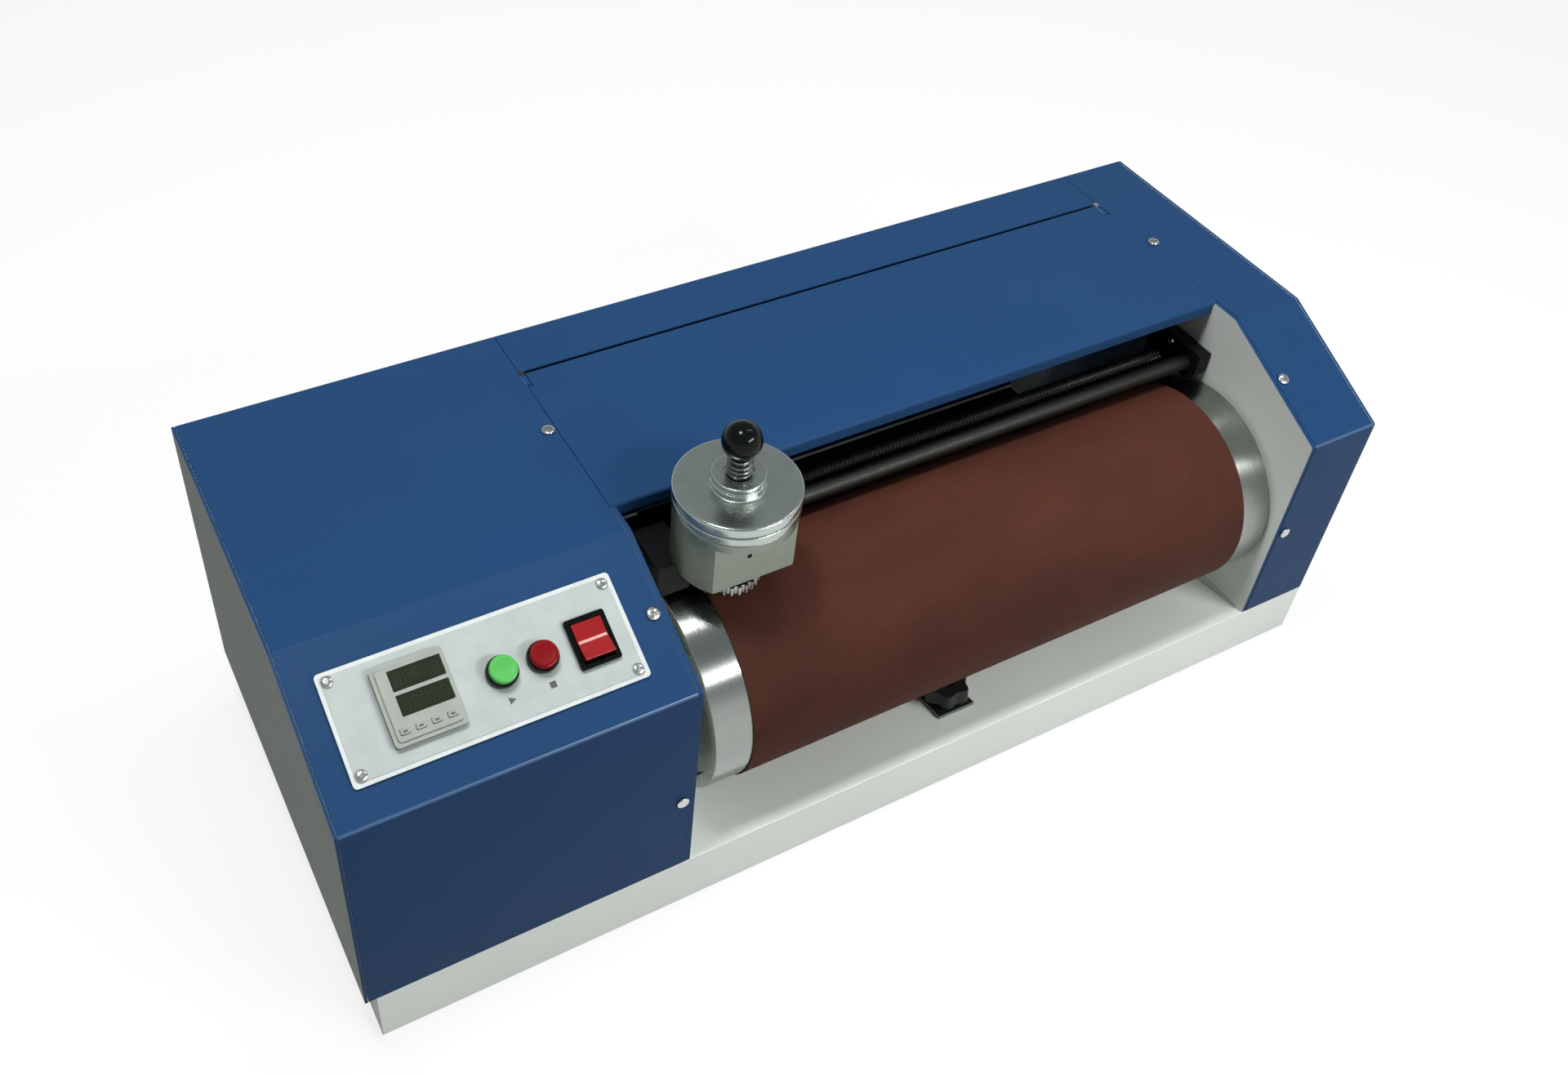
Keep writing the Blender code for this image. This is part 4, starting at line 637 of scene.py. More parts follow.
def make_bearing_walls():
    step = COVER_SHEET + 2 * GAP
    top, low = HEIGHT - GAP, HEIGHT - step
    front = soften(inset(side_profile(), GAP)[:4], COVER_BEND, 8, closed=False)[:-1]
    lid_front = span("lid")[0].y - 0.5
    ear_front, ear_back = LID_AXIS.x - 5.5, span("rear_cover")[0].y - GAP
    outline = front + [(lid_front, top), (lid_front, low), (ear_front, low), (ear_front, top),
                       (ear_back, top), (ear_back, low), (Y_BACK - step, low),
                       (Y_BACK - step, COVER_BOTTOM)]
    for side, face, out in (("left", X_LEFT_WALL, -1), ("right", X_RIGHT_WALL, 1)):
        back = face + out * WALL
        wall = solid(side + "_bearing_wall_skin", add_prism, outline, *sorted((face, back)))
        join(wall, flange_prism(back - out, back + out * FLANGE_WIDTH))
        x0, x1 = sorted((face - out, back + out))
        holes = [bar(DRUM_AXIS, BEARING_HOLE, x0, x1), bar(LID_AXIS, PIN_RADIUS + GAP, x0, x1)]
        if side == "left":
            holes.append(bar(middle("lead_screw").yz, SCREW_PASSAGE, x0, x1))
        cut(wall, *holes, *screw_holes(side))
        piece(wall, "housing", GREY, side + "_bearing_wall",
              edge=PLATE_EDGE)
        paint_faces(wall, BLUE, is_rim)


def trough(grow):
    """The hollow under the drum, with a sloping front, grown by a thickness of sheet."""
    front, back = Y_FRONT + TROUGH_FRONT, TROUGH_BACK_Y + grow
    floor, over = BASE_TOP - TROUGH_DEPTH - grow, BASE_TOP + 5.0
    outline = [(front, BASE_TOP - grow), (front, over), (back, over), (back, floor), (TROUGH_FOOT_Y, floor)]
    return shape(add_prism, outline, X_LEFT_WALL + GAP - grow, X_RIGHT_WALL - GAP + grow)


def make_base():
    low, high = span("base_tray")
    t, rim = BASE_SHEET, BASE_FLANGE
    base = solid("base_tray_skin", add_box, low.x, high.x - BASE_INSET, low.y, high.y, 0.0, high.z)
    cavity = shape(add_box, low.x + t, high.x - t, low.y + t, high.y - t, t, high.z - t)
    cut(cavity, trough(t))
    opening = shape(add_box, low.x + rim, high.x - rim, low.y + rim, high.y - rim, -5.0, t + 1.0)
    cut(base, trough(0.0), cavity, opening)
    piece(base, "housing", GREY, "base_tray", edge=0.9, steps=4)
    # A thin black sheet on the floor behind the trough: painted shade for the bay under the lid.
    mat = solid("bay_painted_shade_sheet", add_box, X_LEFT_WALL + 1.0, X_RIGHT_WALL - 1.0, TROUGH_BACK_Y + 1.0,
                Y_BACK - 4.0, BASE_TOP + 0.02, BASE_TOP + 0.22)
    piece(mat, "housing", BLACK)


def make_lid():
    low, high = span("lid")
    y = LID_AXIS.x
    bottom = HEIGHT - LID_LIP
    points = [(low.y, bottom), (low.y, HEIGHT), (high.y, HEIGHT)]
    lid = solid("lid_skin", add_prism, sheet_outline(points, COVER_SHEET, COVER_BEND), low.x, high.x)
    cheek = [(low.y + 0.5, bottom), (y + 4.0, bottom), (y + 4.0, HEIGHT - 0.5), (low.y + 2.0, HEIGHT - 0.5)]
    for wall, inward, outside in ((X_LEFT_WALL, 1, low.x - 1.0), (X_RIGHT_WALL, -1, high.x + 1.0)):
        a = wall + inward * LID_SIDE_GAP
        b = a + inward * LID_CHEEK
        past = sorted((outside, a))
        cut(lid, shape(add_box, *past, low.y - 1.0, low.y + COVER_SHEET + COVER_BEND, bottom - 1.0,
                       HEIGHT - COVER_SHEET - GAP),
            shape(add_box, *past, y - 7.0, high.y + 1.0, bottom - 1.0, HEIGHT + 1.0))
        join(lid, shape(add_prism, cheek, *sorted((a, b))))
        cut(lid, bar(LID_AXIS, PIN_RADIUS + GAP, *sorted((a - inward, b + inward))))
    piece(lid, "lid", BLUE, "lid")
    for side in ("left", "right"):
        node = "lid_hinge_pin_" + side
        low, high = span(node)
        pin = solid(side + "_hinge_pin_skin", add_turned, bar_profile(PIN_RADIUS, low.x, high.x, 0.4),
                    LID_AXIS, "X", SMALL)
        piece(pin, "housing", STEEL, node)
    slot = (span("lid")[1].y + span("rear_cover")[0].y) / 2
    profile = [(0, HEIGHT - 0.3), (2.1, HEIGHT - 0.3), (2.1, HEIGHT + 0.05), (1.8, HEIGHT + 0.2),
               (0, HEIGHT + 0.2)]
    for side, x, finish, use in (("left", X_LEFT_WALL - 1.6, MATTE_BLACK, "black_plastic"),
                                 ("right", X_RIGHT_WALL + 1.4, STEEL, "bright_steel")):
        cap = solid(side + "_slot_cap", add_turned, profile, (x, slot), "Z", SMALL)
        piece(cap, "housing", finish)


# ---- Screws ----

def make_screw(name, place, sizes, node=None, recess=True):
    """A domed screw along +Z with a cross recess."""
    head, rise, shank, reach = sizes
    flat = 0.35 * rise
    dome = [(head * cos(a), GAP + flat + (rise - GAP - flat) * sin(a))
            for a in [radians(d) for d in range(0, 85, 12)]]
    profile = [(0, -reach), (shank, -reach), (shank, GAP), (head - 0.15, GAP)] + dome + [(0, rise)]
    made = solid(name, add_turned, profile, (0, 0), "Z", SMALL, matrix=place)
    if recess:
        arm, half = head * 0.56, head * 0.13
        cross = ((-arm, arm, -half, half), (-half, half, -arm, arm))
        cut(made, *[shape(add_box, *sizes, rise - SCREW_RECESS, rise + 1.0, matrix=place)
                    for sizes in cross])
    piece(made, "housing", CHROME, node)


def make_screws():
    for number, place in enumerate(SCREWS["left"] + SCREWS["right"], 1):
        node = f"cover_screw_{number}"
        make_screw(node + "_skin", place @ turn(radians(17 + 31 * number), "Z"), COVER_SCREW, node)
    panel, size = on_slope("panel_plate")
    top = panel.z + size.z / 2 - GAP + 0.35
    corners = corners_of(panel.x, panel.y, size.x - 12.0, size.y - 12.0)
    for i, (x, up) in enumerate((corners[0], corners[3], corners[1], corners[2]), 1):
        place = SLOPE @ move(x, up, top) @ turn(radians(25 * i), "Z")
        make_screw(f"panel_screw_{i}", place, PANEL_SCREW)
    head = [(0, -1.1), (2.6, -1.1), (2.6, -0.3), (2.3, -0.15), (1.3, -0.15), (1.2, -0.8), (0, -0.8)]
    for side in ("left", "right"):
        for i, place in enumerate(end_screw_places(side), 1):
            socket = solid(f"{side}_end_screw_{i}", add_turned, head, (0, 0), "Z", SMALL, matrix=place)
            piece(socket, "housing", DARK_STEEL)


# ---- Drum ----

def make_drum():
    low, high = span("drum_shell")
    r, shaft = radius_of("drum_shell", "z"), radius_of("drum_shaft", "z")
    bore, rim, dish = shaft + 5.0, r - 9.0, 3.0
    half = [(bore, 0.0), (bore, dish - 1.0), (rim, dish), (rim, 0.0), (r, 0.0)]
    left = [(a, low.x + b) for a, b in half]
    right = [(a, high.x - b) for a, b in reversed(half)]
    fit, hollow = shaft + GAP, r - DRUM_WALL
    inner = [(fit, high.x), (fit, high.x - DRUM_WALL), (hollow, high.x - DRUM_WALL),
             (hollow, low.x + DRUM_WALL), (fit, low.x + DRUM_WALL), (fit, low.x)]
    drum = solid("drum_shell_skin", add_turned, soften(left + right + inner, 0.8, 3), DRUM_AXIS, "X",
                 FINE, closed=True)
    piece(drum, "drum", DRUM_METAL, "drum_shell")
    low, high = span("abrasive_cloth")
    inner, outer = r + GAP, radius_of("abrasive_cloth", "z")
    profile = [(inner, low.x), (outer, low.x), (outer, high.x), (inner, high.x)]
    cloth = solid("abrasive_cloth_skin", add_turned, soften(profile, 0.35, 3), DRUM_AXIS, "X", FINE,
                  closed=True)
    piece(cloth, "drum", CLOTH, "abrasive_cloth")
    low, high = span("drum_shaft")
    profile = [(0, low.x), (shaft - 1.0, low.x), (shaft, low.x + 1.0), (shaft, high.x - 1.0),
               (shaft - 1.0, high.x), (0, high.x)]
    piece(solid("drum_shaft_skin", add_turned, profile, DRUM_AXIS), "drum", STEEL,
          "drum_shaft")


# ---- Traverse ----

def add_thread(bm, centre, radius, start, end, sides=28):
    """A bar along X with a helical thread cut in it."""
    steps = int((end - start) / THREAD_PITCH * 4)
    rings = []
    for k in range(steps + 1):
        ring = []
        x = start + (end - start) * k / steps
        for i in range(sides):
            phase = ((x - start) / THREAD_PITCH - i / sides) % 1.0
            share = 0.5 + 0.5 * cos(2 * pi * phase) if 0 < k < steps else 1.0
            r = radius - THREAD_DEPTH * share
            ring.append(bm.verts.new((x, *polar(centre, r, 2 * pi * i / sides))))
        rings.append(ring)
    bm.faces.new(rings[0])
    bm.faces.new(rings[-1])
    for one, two in zip(rings, rings[1:]):
        bridge(bm, one, two)


def make_traverse():
    low, high = span("guide_rod")
    rod, rod_radius = middle("guide_rod").yz, radius_of("guide_rod", "z")
    piece(solid("guide_rod_skin", add_turned, bar_profile(rod_radius, low.x, high.x, 0.6), rod),
          "housing", ROD_STEEL, "guide_rod")
    low, high = span("lead_screw")
    axis, radius = middle("lead_screw").yz, radius_of("lead_screw", "z")
    piece(solid("lead_screw_skin", add_thread, axis, radius, low.x, high.x),
          "screw", DARK_STEEL, "lead_screw", smooth=50)
    hub, reach, nut = rod_radius + SUPPORT_RIM, radius + 6.0, radius + 4.0

    def bores(sides):
        return (bar(rod, rod_radius + GAP, low.x - 1, high.x + 1, sides=sides),
                bar(axis, radius + GAP, low.x - 1, high.x + 1, sides=sides))

    outline = arc(rod, hub, 180, 300) + [
        (axis.x - reach, axis.y), (axis.x - reach, axis.y - reach), (axis.x + reach, axis.y - reach),
        (axis.x + reach, rod.y + hub), (rod.x - hub, rod.y + hub)]
    for side in ("left", "right"):
        low, high = span("rod_support_" + side)
        block = solid(f"rod_support_{side}_skin", add_prism, outline, low.x, high.x)
        cut(block, *bores(SMALL))
        piece(block, "housing", BLACK, "rod_support_" + side, edge=0.7)
        x, angle = (high.x - 0.35, pi / 2) if side == "left" else (low.x + 0.35, -pi / 2)
        for i, (y, z) in enumerate(((rod.x + 17.0, rod.y + 7.0), (axis.x - 6.5, axis.y - 8.5)), 1):
            make_screw(f"{side}_support_screw_{i}", move(x, y, z) @ turn(angle, "Y"), SUPPORT_SCREW)
    low, high = span("carriage")
    ring = arc(rod, hub, 20, 320)
    front, back = axis.x - nut, axis.x + nut
    outline = ring + [(front, ring[-1][1]), (front, axis.y - nut), (back, axis.y - nut), (back, axis.y + nut)]
    block = solid("carriage_skin", add_prism, outline, low.x, high.x)
    cut(block, *bores(ROUND))
    piece(block, "carriage", BLACK, "carriage", edge=0.8)
    make_arm(rod, rod_radius, hub)


def make_arm(rod, rod_radius, hub):
    low, high = span("swing_arm")
    carriage = span("carriage")
    inner_left, inner_right = carriage[0].x - 0.5, carriage[1].x + 0.5
    top, front = high.z, HOLDER_AXIS.y + 5.0
    cheek = [(front, CLOTH_TOP + 4.3)] + arc(rod, hub, 252, 432) + [(rod.x, top), (front, top)]
    arm = solid("swing_arm_skin", add_prism, cheek, low.x, inner_left)
    plate = shape(add_box, inner_left - 1.0, inner_right + 1.0, low.y, rod.x - hub - 2.0, top - 11.0, top)
    join(arm, plate, shape(add_prism, cheek, inner_right, high.x))
    cut(arm, bar(rod, rod_radius + GAP, low.x - 1, high.x + 1, sides=ROUND),
        bar(HOLDER_AXIS, ARM_BORE, top - 12.0, top + 1.0, "Z", ROUND))
    piece(arm, "arm", BLACK, "swing_arm", edge=0.8)


# ---- Sample holder ----

def make_holder():
    x, y = HOLDER_AXIS
    low, high = span("holder_body")
    radius, bore = radius_of("holder_body"), HOLDER_BORE
    profile = [(bore, low.z), (radius, low.z), (radius, high.z), (bore, high.z)]
    body = solid("holder_body_skin", add_turned, soften(profile, 0.8, 4), HOLDER_AXIS, "Z", FINE,
                 closed=True)
    sides = [shape(add_box, x - 50.0, x + 50.0, *sorted((y + s * FLAT_DEPTH, y + s * 50.0)), low.z - 1.0,
                   low.z + 37.0) for s in (-1, 1)]
    cut(body, *sides, bar((x - 4.0, low.z + 22.0), 1.7, y - 50.0, y - FLAT_DEPTH + 3.0, "Y"))
    piece(body, "arm", BODY_METAL, "holder_body", edge=0.35)
    low, high = span("load_weight")
    r = radius_of("load_weight")
    boss, boss_top, top = 16.5, high.z, high.z - 9.0
    groove = low.z + 6.2
    rims = soften([(r - 6.0, low.z), (r - 0.4, low.z), (r - 0.4, groove), (r - 1.9, groove + 0.3),
                   (r - 1.9, groove + 1.3), (r, groove + 1.6), (r, top), (r - 6.0, top)], 1.6, 8,
                  closed=False)
    steps = soften([(boss + 2.0, top), (boss, top), (boss, top + 3.4), (boss - 1.1, top + 3.9),
                    (boss - 1.1, top + 4.9), (boss, top + 5.4), (boss, boss_top), (bore + 4.2, boss_top),
                    (bore + 3.4, boss_top - 0.8)], 0.8, 5, closed=False)
    profile = [(bore, low.z)] + rims + steps + [(bore, boss_top - 0.8)]
    weight = solid("load_weight_skin", add_turned, profile, HOLDER_AXIS, "Z", FINE, closed=True)
    piece(weight, "arm", HOLDER_METAL, "load_weight")


def gear_loop(centre, radius, teeth, depth, steps=3):
    """A ring of square-topped teeth with soft corners."""
    loop = []
    for i in range(teeth):
        for part, r in ((0.02, radius - depth), (0.16, radius), (0.50, radius), (0.64, radius - depth)):
            loop.append(polar(centre, r, 2 * pi * (i + part) / teeth))
    return soften(loop, 0.35, steps)


def make_chuck():
    low, high = span("sample_chuck")
    teeth = low.z + 7.5
    teeth_top = teeth + 6.5
    loop = gear_loop(HOLDER_AXIS, radius_of("sample_chuck"), 24, 1.7)
    chuck = solid("sample_chuck_skin", add_prism, loop, teeth, teeth_top, "Z")
    join(chuck, bar(HOLDER_AXIS, CHUCK_HUB, teeth_top - 1.0, high.z, "Z", ROUND))
    sample_low, sample_high = span("test_piece")
    sample = radius_of("test_piece")
    cut(chuck, bar(HOLDER_AXIS, sample + GAP, low.z - 1.0, sample_high.z + GAP, "Z", ROUND),
        bar(HOLDER_AXIS, HOLDER_BORE, sample_high.z, high.z + 1.0, "Z", ROUND))
    piece(chuck, "spindle", STEEL, "sample_chuck", edge=0.3)
    ring = soften([(sample + GAP, low.z), (NOSE_RADIUS, low.z), (NOSE_RADIUS, teeth),
                   (sample + GAP, teeth)], 0.5, 3)
    nose = solid("chuck_nose", add_turned, ring, HOLDER_AXIS, "Z", ROUND, closed=True)
    piece(nose, "spindle", DARK_STEEL)
    rubber = solid("test_piece_skin", add_turned, bar_profile(sample, sample_low.z, sample_high.z, 0.4),
                   HOLDER_AXIS, "Z")
    piece(rubber, "spindle", RUBBER, "test_piece")


def make_spindle():
    low, high = span("spindle")
    ball_low, ball_high = span("ball_knob")
    neck, ribs = span("load_weight")[1].z + GAP, 4
    rib = (ball_low.z - GAP - neck) / ribs
    shaft = HOLDER_BORE - GAP
    profile = [(0, low.z), (STUD, low.z), (shaft, low.z + 1.0), (shaft, neck)]
    for i in range(ribs):
        start = neck + i * rib
        wide = 8.0 if i < ribs - 1 else 7.0
        profile += [(wide, start), (wide, start + 0.55 * rib), (wide - 2.2, start + 0.7 * rib),
                    (wide - 2.2, start + 0.95 * rib)]
    profile += [(STUD, neck + ribs * rib), (STUD, high.z), (0, high.z)]
    spindle = solid("spindle_skin", add_turned, soften(profile, 0.45, 3, closed=False), HOLDER_AXIS, "Z")
    piece(spindle, "spindle", NECK_STEEL, "spindle")
    radius = radius_of("ball_knob")
    centre = ball_high.z - radius
    first = acos((centre - ball_low.z) / radius)
    dome = [(radius * sin(a), centre - radius * cos(a))
            for a in (first + (pi - first) * i / 40 for i in range(40))]
    profile = [(0, high.z + GAP), (STUD + GAP, high.z + GAP), (STUD + GAP, ball_low.z),
               (radius * sin(first) - 0.4, ball_low.z)] + dome + [(0, ball_high.z)]
    ball = solid("ball_knob_skin", add_turned, profile, HOLDER_AXIS, "Z")
    piece(ball, "spindle", GLOSS_BLACK, "ball_knob", smooth=60)


# ---- Control panel ----

WINDOWS = ("upper", "lower")
COUNTER_UP = sum(on_slope("counter_window_" + name)[0].y for name in WINDOWS) / 2 - 5.35
COUNTER_HEIGHT = 46.0
COUNTER_CUTOUT = (37.6, 39.6)
KEY_CLEAR = 0.16    # both sides together
ROCKER_UP = on_slope("rocker_switch")[0].y
ROCKER_HEIGHT = 30.5
ROCKER_CUTOUT = (21.8, 27.1)
ROCKER_TILT = radians(8.0)
BUTTON_STEM = 4.0
BUTTON_SHANK = 6.5
BUTTON_CUTOUT = BUTTON_SHANK + GAP
BUTTON_DEPTH = 23.7


def slope_plate(name, at, size, start, end, radius):
    outline = soften(corners_of(at[0], at[1], size[0], size[1]), radius, 5)
    return solid(name, add_prism, outline, start, end, "Z", matrix=SLOPE)


def slope_box(at, size, start, end, grow=0.0):
    w, h = (size[0] + grow) / 2, (size[1] + grow) / 2
    return shape(add_box, at[0] - w, at[0] + w, at[1] - h, at[1] + h, start, end, matrix=SLOPE)


def make_panel():
    centre, size = on_slope("panel_plate")
    top = centre.z + size.z / 2
    counter = (on_slope("counter_case")[0].x, COUNTER_UP)
    rocker = (on_slope("rocker_bezel")[0].x, ROCKER_UP)
    start, stop = on_slope("start_button")[0], on_slope("stop_button")[0]
    plate = slope_plate("panel_plate_skin", centre, size, GAP, top - 0.35, 2.5)
    film = slope_plate("panel_film", centre, (size.x - 5.0, size.y - 5.0), top - 0.30, top, 2.0)
    for sheet in (plate, film):
        cut(sheet, slope_box(counter, COUNTER_CUTOUT, -3.0, top + 1.0),
            slope_box(rocker, ROCKER_CUTOUT, -3.0, top + 1.0),
            *[bar(button.xy, BUTTON_CUTOUT, -3.0, top + 1.0, "Z", matrix=SLOPE)
              for button in (start, stop)])
    piece(plate, "housing", PANEL_EDGE, "panel_plate", edge=0.35)
    piece(film, "housing", PANEL, edge=0.1, steps=2)
    make_counter(top)
    make_buttons(top)
    make_rocker(top)
    make_marks(top, start, stop)


def make_counter(seat):
    centre, width = (middle("counter_case").x, COUNTER_UP), 2 * radius_of("counter_case")
    seat += GAP
    face, step = seat + 4.5, 1.0
    windows = [on_slope("counter_window_" + name) for name in WINDOWS]
    keys = [on_slope(f"counter_key_{i}") for i in range(1, 5)]
    case = slope_plate("counter_case_skin", centre, (width, COUNTER_HEIGHT), seat, face - step, 2.5)
    raised = slope_plate("helper", centre, (width - 5.0, COUNTER_HEIGHT - 5.0), face - step - 0.5, face, 2.0)
    join(case, raised, slope_box(centre, (width - 5.0, COUNTER_HEIGHT - 7.0), seat - 38.0, seat + 1.0))
    cut(case, *[slope_box(at, size, face - deep, face + 1.0, clear)
                for places, clear, deep in ((windows, 2 * GAP, 1.5), (keys, KEY_CLEAR, 3.6))
                for at, size in places])
    piece(case, "housing", CASE, "counter_case", edge=0.45)
    for name, (at, size) in zip(WINDOWS, windows):
        bottom, top = at.z - size.z / 2, at.z + size.z / 2 - 0.1
        glass = slope_plate(f"window_{name}_skin", at, size, bottom, top, 0.8)
        piece(glass, "housing", WINDOW, "counter_window_" + name, edge=0.2)
        make_digits(name, at, top)
    for i, (at, size) in enumerate(keys, 1):
        bottom, top = at.z - size.z / 2, at.z + size.z / 2
        key = slope_plate(f"counter_key_{i}_skin", at, size, bottom, top, 0.9)
        piece(key, f"key_{i}", KEYS, f"counter_key_{i}", edge=0.15, steps=2)
        dash = solid(f"counter_key_{i}_mark", add_box, at.x - 1.3, at.x + 1.3, at.y - 0.55, at.y + 0.55,
                     top + 0.01, top + 0.05, matrix=SLOPE)
        piece(dash, f"key_{i}", PRINT)


def make_digits(name, at, face):
    """Unlit seven-bar digits, hardly lighter than the window."""
    level, upright = (2.4, 0.5), (0.5, 2.7)
    bars = [(0, up, level) for up in (1, 0, -1)]
    bars += [(side, up, upright) for up in (0.5, -0.5) for side in (-1, 1)]
    bm = bmesh.new()
    for digit in range(5):
        for side, up, (w, h) in bars:
            x, y = at.x + 5.4 * (digit - 2) + side * 1.6, at.y + up * 3.2
            add_box(bm, x - w / 2, x + w / 2, y - h / 2, y + h / 2, face + 0.01, face + 0.04)
    piece(mesh_object(f"window_{name}_digits", bm, SLOPE), "housing", SEGMENT)


def make_buttons(seat):
    for name, colour, slot in (("start", GREEN, "green_plastic"), ("stop", RED, "red_plastic")):
        node, body_node = name + "_button", name + "_button_body"
        centre = on_slope(node)[0].xy
        cap, ring = radius_of(node), radius_of(body_node)
        bore, shank, back = BUTTON_STEM + GAP, BUTTON_SHANK, seat - BUTTON_DEPTH
        floor, rim = seat + GAP + 1.2, seat + GAP + 3.4
        profile = soften([(bore, back), (shank, back), (shank, seat + GAP), (ring, seat + GAP),
                          (ring, rim), (cap + GAP, rim), (cap + GAP, floor), (bore, floor)], 0.5, 4)
        body = solid(name + "_body_skin", add_turned, profile, centre, "Z", closed=True, matrix=SLOPE)
        piece(body, "housing", MATTE_BLACK, body_node)
        foot, low, top = back + 4.0, floor + 2.8, floor + 7.2
        profile = soften([(0, foot), (BUTTON_STEM, foot), (BUTTON_STEM, low), (cap, low),
                          (cap, top - 0.9), (cap - 0.35, top - 0.35), (cap - 1.1, top - 0.05),
                          (cap - 2.2, top), (cap - 3.0, top - 0.12), (cap * 0.35, top - 0.3),
                          (0, top - 0.35)], 0.4, 3, closed=False)
        button = solid(node + "_skin", add_turned, profile, centre, "Z", matrix=SLOPE)
        piece(button, node, colour, node)


def make_rocker(seat):
    centre = (middle("rocker_bezel").x, ROCKER_UP)
    size = (2 * radius_of("rocker_bezel"), ROCKER_HEIGHT)
    seat += GAP
    face = seat + 2.4
    bezel = slope_plate("rocker_bezel_skin", centre, size, seat, face, 1.6)
    join(bezel, slope_box(centre, size, seat - 20.0, seat + 1.0, -4.0))
    cut(bezel, slope_box(centre, size, seat - 12.0, face + 1.0, -6.0))
    width, height = size[0] - 6.0, size[1] - 6.0
    piece(bezel, "housing", GLOSS_BLACK, "rocker_bezel", edge=0.6)
    half, across = height / 2 - 0.9, width / 2 - GAP
    rise = half * tan(ROCKER_TILT) + 0.2
    dip = [(half * k / 8, 1.0 + rise * abs(k / 8) ** 1.25) for k in range(-8, 9)]
    outline = dip + [(half, 0.2), (half * 0.72, -6.0), (-half * 0.72, -6.0), (-half, 0.2)]
    place = SLOPE @ move(*centre, face) @ turn(-ROCKER_TILT, "X")
    rocker = solid("rocker_switch_skin", add_prism, outline, -across, across, matrix=place)
    piece(rocker, "rocker", LENS_RED, "rocker_switch", edge=0.5, smooth=30)
    # A thin ridge in the rocker's dip, coloured pale as a painted highlight.
    crest = [(-0.9, 0.9), (0.9, 0.9), (0.8, 1.3), (0.35, 1.6), (-0.35, 1.6), (-0.8, 1.3)]
    ridge = solid("rocker_ridge", add_prism, crest, 0.6 - across, across - 0.6, matrix=place)
    piece(ridge, "rocker", RIDGE_HIGHLIGHT_RED)


def make_marks(top, start, stop):
    """Plain printed marks: a triangle and a square under the buttons."""
    up = start.y - 16.5
    triangle = [(start.x - 1.8, up - 2.1), (start.x + 2.2, up), (start.x - 1.8, up + 2.1)]
    bm = bmesh.new()
    for outline in (triangle, corners_of(stop.x, up, 3.8, 3.8)):
        add_prism(bm, outline, top + 0.01, top + 0.06, "Z")
    piece(mesh_object("panel_marks", bm, SLOPE), "housing", PRINT)


# ---- Fittings ----

def make_inlet():
    low, high = span("power_inlet")
    x, z = middle("power_inlet").xz
    near, far = Y_BACK + GAP, high.y
    outline = [(x + a, z + b) for a, b in
               ((-25, -8), (-22, -11.5), (22, -11.5), (25, -8), (25, 8), (22, 11.5), (-22, 11.5), (-25, 8))]
    inlet = solid("power_inlet_skin", add_prism, outline, near, far, "Y")
    w, h = INLET_WIDTH / 2, INLET_HEIGHT / 2
    join(inlet, shape(add_box, x - w, x + w, low.y, near + 1.0, z - h, z + h))
    socket = [(x + a, z + b) for a, b in
              ((-11, -7.5), (11, -7.5), (11, 3.5), (7, 7.5), (-7, 7.5), (-11, 3.5))]
    screws = (x - 19.5, x + 19.5)
    cut(inlet, shape(add_prism, soften(socket, 0.8), Y_BACK - 16.0, far + 1.0, "Y"),
        *[bar((at, z), 1.9, near - 1.0, far + 1.0, "Y") for at in screws])
    piece(inlet, "housing", MATTE_BLACK, "power_inlet", edge=0.5)
    bm = bmesh.new()
    for a, b in ((x - 7.0, z - 2.0), (x, z + 2.0), (x + 7.0, z - 2.0)):
        add_box(bm, a - 1.0, a + 1.0, Y_BACK - 17.0, Y_BACK - 2.0, b - 2.0, b + 2.0)
    piece(mesh_object("inlet_pins", bm), "housing", CHROME, edge=0.3)
    for i, at in enumerate(screws, 1):
        make_screw(f"inlet_screw_{i}", move(at, far - 1.6, z) @ turn(-pi / 2, "X"), INLET_SCREW,
                   recess=False)


def make_brush():
    low, high = span("brush_bar")
    y = DRUM_AXIS.x
    floor = BASE_TOP - TROUGH_DEPTH + GAP
    brush = solid("brush_bar_skin", add_box, low.x, high.x, y - 5.5, y + 5.5, floor, floor + 7.0)
    knob = (TROUGH.inverted() @ (middle("brush_clamp_knob") * MM) / MM).x
    x0, x1 = knob - 15.0, knob + 15.0
    foot = shape(add_box, x0, x1, 20.0, TROUGH_FOOT_Y - Y_FRONT - TROUGH_FRONT + 0.5, GAP,
                 GAP + BRUSH_FOOT, matrix=TROUGH)
    join(brush, foot, shape(add_box, x0, x1, TROUGH_FOOT_Y - 3.5, y - 4.5, floor + 0.7, floor + 3.2))
    cut(brush, bar((knob, KNOB_UP), 3.6, -1.0, 6.0, "Z", matrix=TROUGH))
    piece(brush, "housing", BODY_METAL, "brush_bar", edge=0.4)
    low, high = span("brush_bristles")
    bm = bmesh.new()
    rows, pitch = 4, 2.0
    for i in range(int((high.x - low.x) / pitch)):
        for j in range(rows):
            x = low.x + 0.8 + pitch * i + (0.5 * pitch if j % 2 else 0.0)
            at = low.y + 0.9 + (high.y - low.y - 1.8) * j / (rows - 1)
            shorter = 0.4 * ((i * 7 + j * 3) % 4) / 3
            add_prism(bm, circle((x, at), 0.7, 5), low.z, high.z - shorter, "Z")
    piece(mesh_object("brush_bristles_skin", bm), "housing", BRISTLE, "brush_bristles")
    make_knob((knob, KNOB_UP))


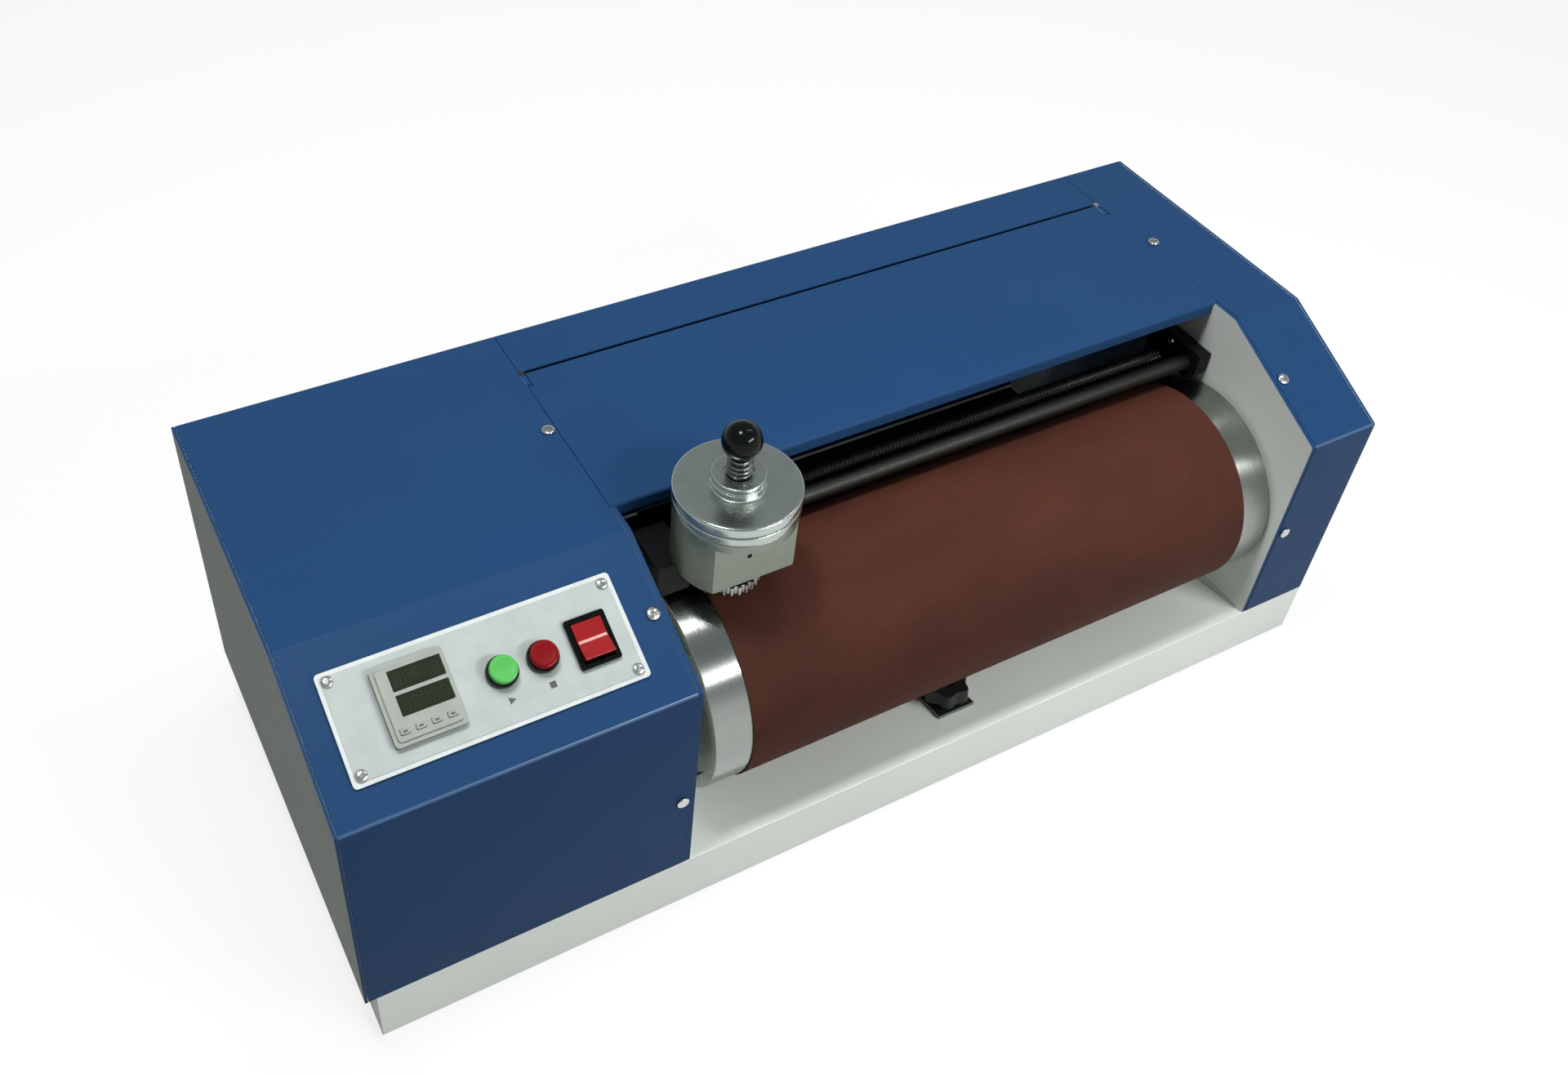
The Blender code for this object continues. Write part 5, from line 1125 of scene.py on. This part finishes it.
def make_knob(centre, lobes=6):
    """A knob with soft lobes, its stud and a dimple on top."""
    seat = 2 * GAP + BRUSH_FOOT
    loop = []
    for i in range(ROUND):
        a = 2 * pi * i / ROUND
        loop.append(polar(centre, KNOB_RADIUS * (0.90 + 0.10 * cos(lobes * a)), a))
    head = solid("clamp_knob_skin", add_prism, loop, seat + 4.0, seat + 15.0, "Z", matrix=TROUGH)
    join(head, bar(centre, 7.0, seat, seat + 5.0, "Z", ROUND, TROUGH),
         bar(centre, 3.0, GAP, seat + 1.0, "Z", matrix=TROUGH))
    cut(head, bar(centre, 5.2, seat + 14.0, seat + 16.0, "Z", ROUND, TROUGH))
    piece(head, "clamp_knob", MATTE_BLACK, "brush_clamp_knob", edge=1.2, steps=4,
          smooth=40)


def finish_cad_nodes():
    """The pieces inside the housing keep their solids and get a worked material."""
    for material, nodes in (
            (BLACK, ("bearing_left", "bearing_right", "gear_motor")), (STEEL, ("motor_bracket",)),
            (RUBBER, ("drive_belt", "screw_belt")), (BOARD_GREEN, ("control_board",)),
            (DRUM_METAL, ("drum_pulley", "motor_pulley", "screw_pulley"))):
        for node in nodes:
            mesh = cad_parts[node].data
            mesh.materials.clear()
            mesh.materials.append(material)


# ---- Studio ----

FLOOR_SEEN = (0.94, 0.94, 0.94, 1.0)
FLOOR_THROWN = (0.26, 0.26, 0.26)   # what it throws on the object
FLOOR_GLOW = 0.82
CEILING = (0.30, 0.32, 0.33)
SKY_THROWN = 0.78
LEFT_THROWN = 0.0    # the dim side of the room


def make_floor():
    """Its glow and its paler colour are only for what the camera, metal and glass see."""
    floor = solid("studio_floor", add_box, -6000.0, 6000.0, -6000.0, 6000.0, -20.0, -0.2)
    made, tree, shader = new_material("studio_floor_white", FLOOR_THROWN, 0.8, specular=0.1)
    path = add_node(tree, "LightPath").outputs
    seen = path["Is Camera Ray"]
    for name in ("Is Glossy Ray", "Is Transmission Ray"):
        seen = maths(tree, "MAXIMUM", seen, path[name])
    plug(tree, shader, Base_Color=mix(tree, seen, (*FLOOR_THROWN, 1.0), FLOOR_SEEN))
    glow = add_node(tree, "Emission", Color=(1.0, 1.0, 1.0, 1.0), Strength=1.0).outputs["Emission"]
    both = add_node(tree, "MixShader", None, {1: shader.outputs["BSDF"], 2: glow},
                    Fac=maths(tree, "MULTIPLY", seen, FLOOR_GLOW))
    plug(tree, tree.nodes["Material Output"], Surface=both.outputs["Shader"])
    floor.data.materials.append(made)


def make_world():
    """Even soft light, a white horizon and a dimmer ceiling for the metal to reflect."""
    world = bpy.data.worlds.new("studio")
    bpy.context.scene.world = world
    world.use_nodes = True
    tree = world.node_tree
    where = add_node(tree, "TexCoord").outputs["Generated"]
    parts = add_node(tree, "SeparateXYZ", Vector=where).outputs
    thrown = remap(tree, parts["X"], LEFT_THROWN, SKY_THROWN, -0.65, 0.25)
    diffuse = add_node(tree, "LightPath").outputs["Is Diffuse Ray"]
    plug(tree, tree.nodes["Background"],
         Color=tint(tree, parts["Z"], (1.0, 1.0, 1.0), CEILING, 0.02, 0.42),
         Strength=remap(tree, diffuse, 1.0, thrown, 0.0, 1.0))


def make_lamp(name, place, size, power, seen=True):
    """A soft box that looks at the middle of the part."""
    lamp = bpy.data.lights.new(name, "AREA")
    lamp.shape = "RECTANGLE"
    lamp.size, lamp.size_y = size
    lamp.energy = power
    made = bpy.data.objects.new(name, lamp)
    made.location = place
    aim = Vector((0.0, 0.0, 0.15)) - Vector(place)
    made.rotation_euler = aim.to_track_quat("-Z", "Y").to_euler()
    made.visible_glossy = seen
    bpy.context.scene.collection.objects.link(made)


def make_lamps():
    make_lamp("top_lamp", (0.0, 0.15, 1.9), (1.1, 0.7), 18.0, seen=False)
    make_lamp("left_lamp", (-0.42, -0.05, 1.7), (0.30, 0.22), 11.0)
    make_lamp("front_lamp", (0.55, -1.28, 1.10), (0.90, 0.10), 17.5)
    make_lamp("right_lamp", (0.94, -0.065, 1.75), (0.10, 0.90), 3.0)


def make_camera():
    """Stands in front, to the left and above, and looks down along the drum."""
    right = Vector((0.8757, -0.47946, 0.05712)).normalized()
    forward = Vector((0.3898, 0.63217, -0.66965)).normalized()
    down = forward.cross(right).normalized()
    data = bpy.data.cameras.new("camera")
    data.sensor_width = 36.0
    data.lens = 35.363
    data.shift_x, data.shift_y = 0.0451, -0.0688
    data.clip_start, data.clip_end = 0.01, 50.0
    made = bpy.data.objects.new("camera", data)
    facing = Matrix((right, -down, -forward)).transposed().to_4x4()
    made.matrix_world = Matrix.Translation((-0.4580, -0.6167, 0.9184)) @ facing
    bpy.context.scene.collection.objects.link(made)
    bpy.context.scene.camera = made


def main():
    bpy.context.scene.view_settings.view_transform = "Standard"
    make_camera()
    make_covers()
    make_end_plates()
    make_bearing_walls()
    make_base()
    make_lid()
    make_screws()
    make_drum()
    make_traverse()
    make_holder()
    make_chuck()
    make_spindle()
    make_panel()
    make_inlet()
    make_brush()
    finish_cad_nodes()
    make_floor()
    make_world()
    make_lamps()


main()
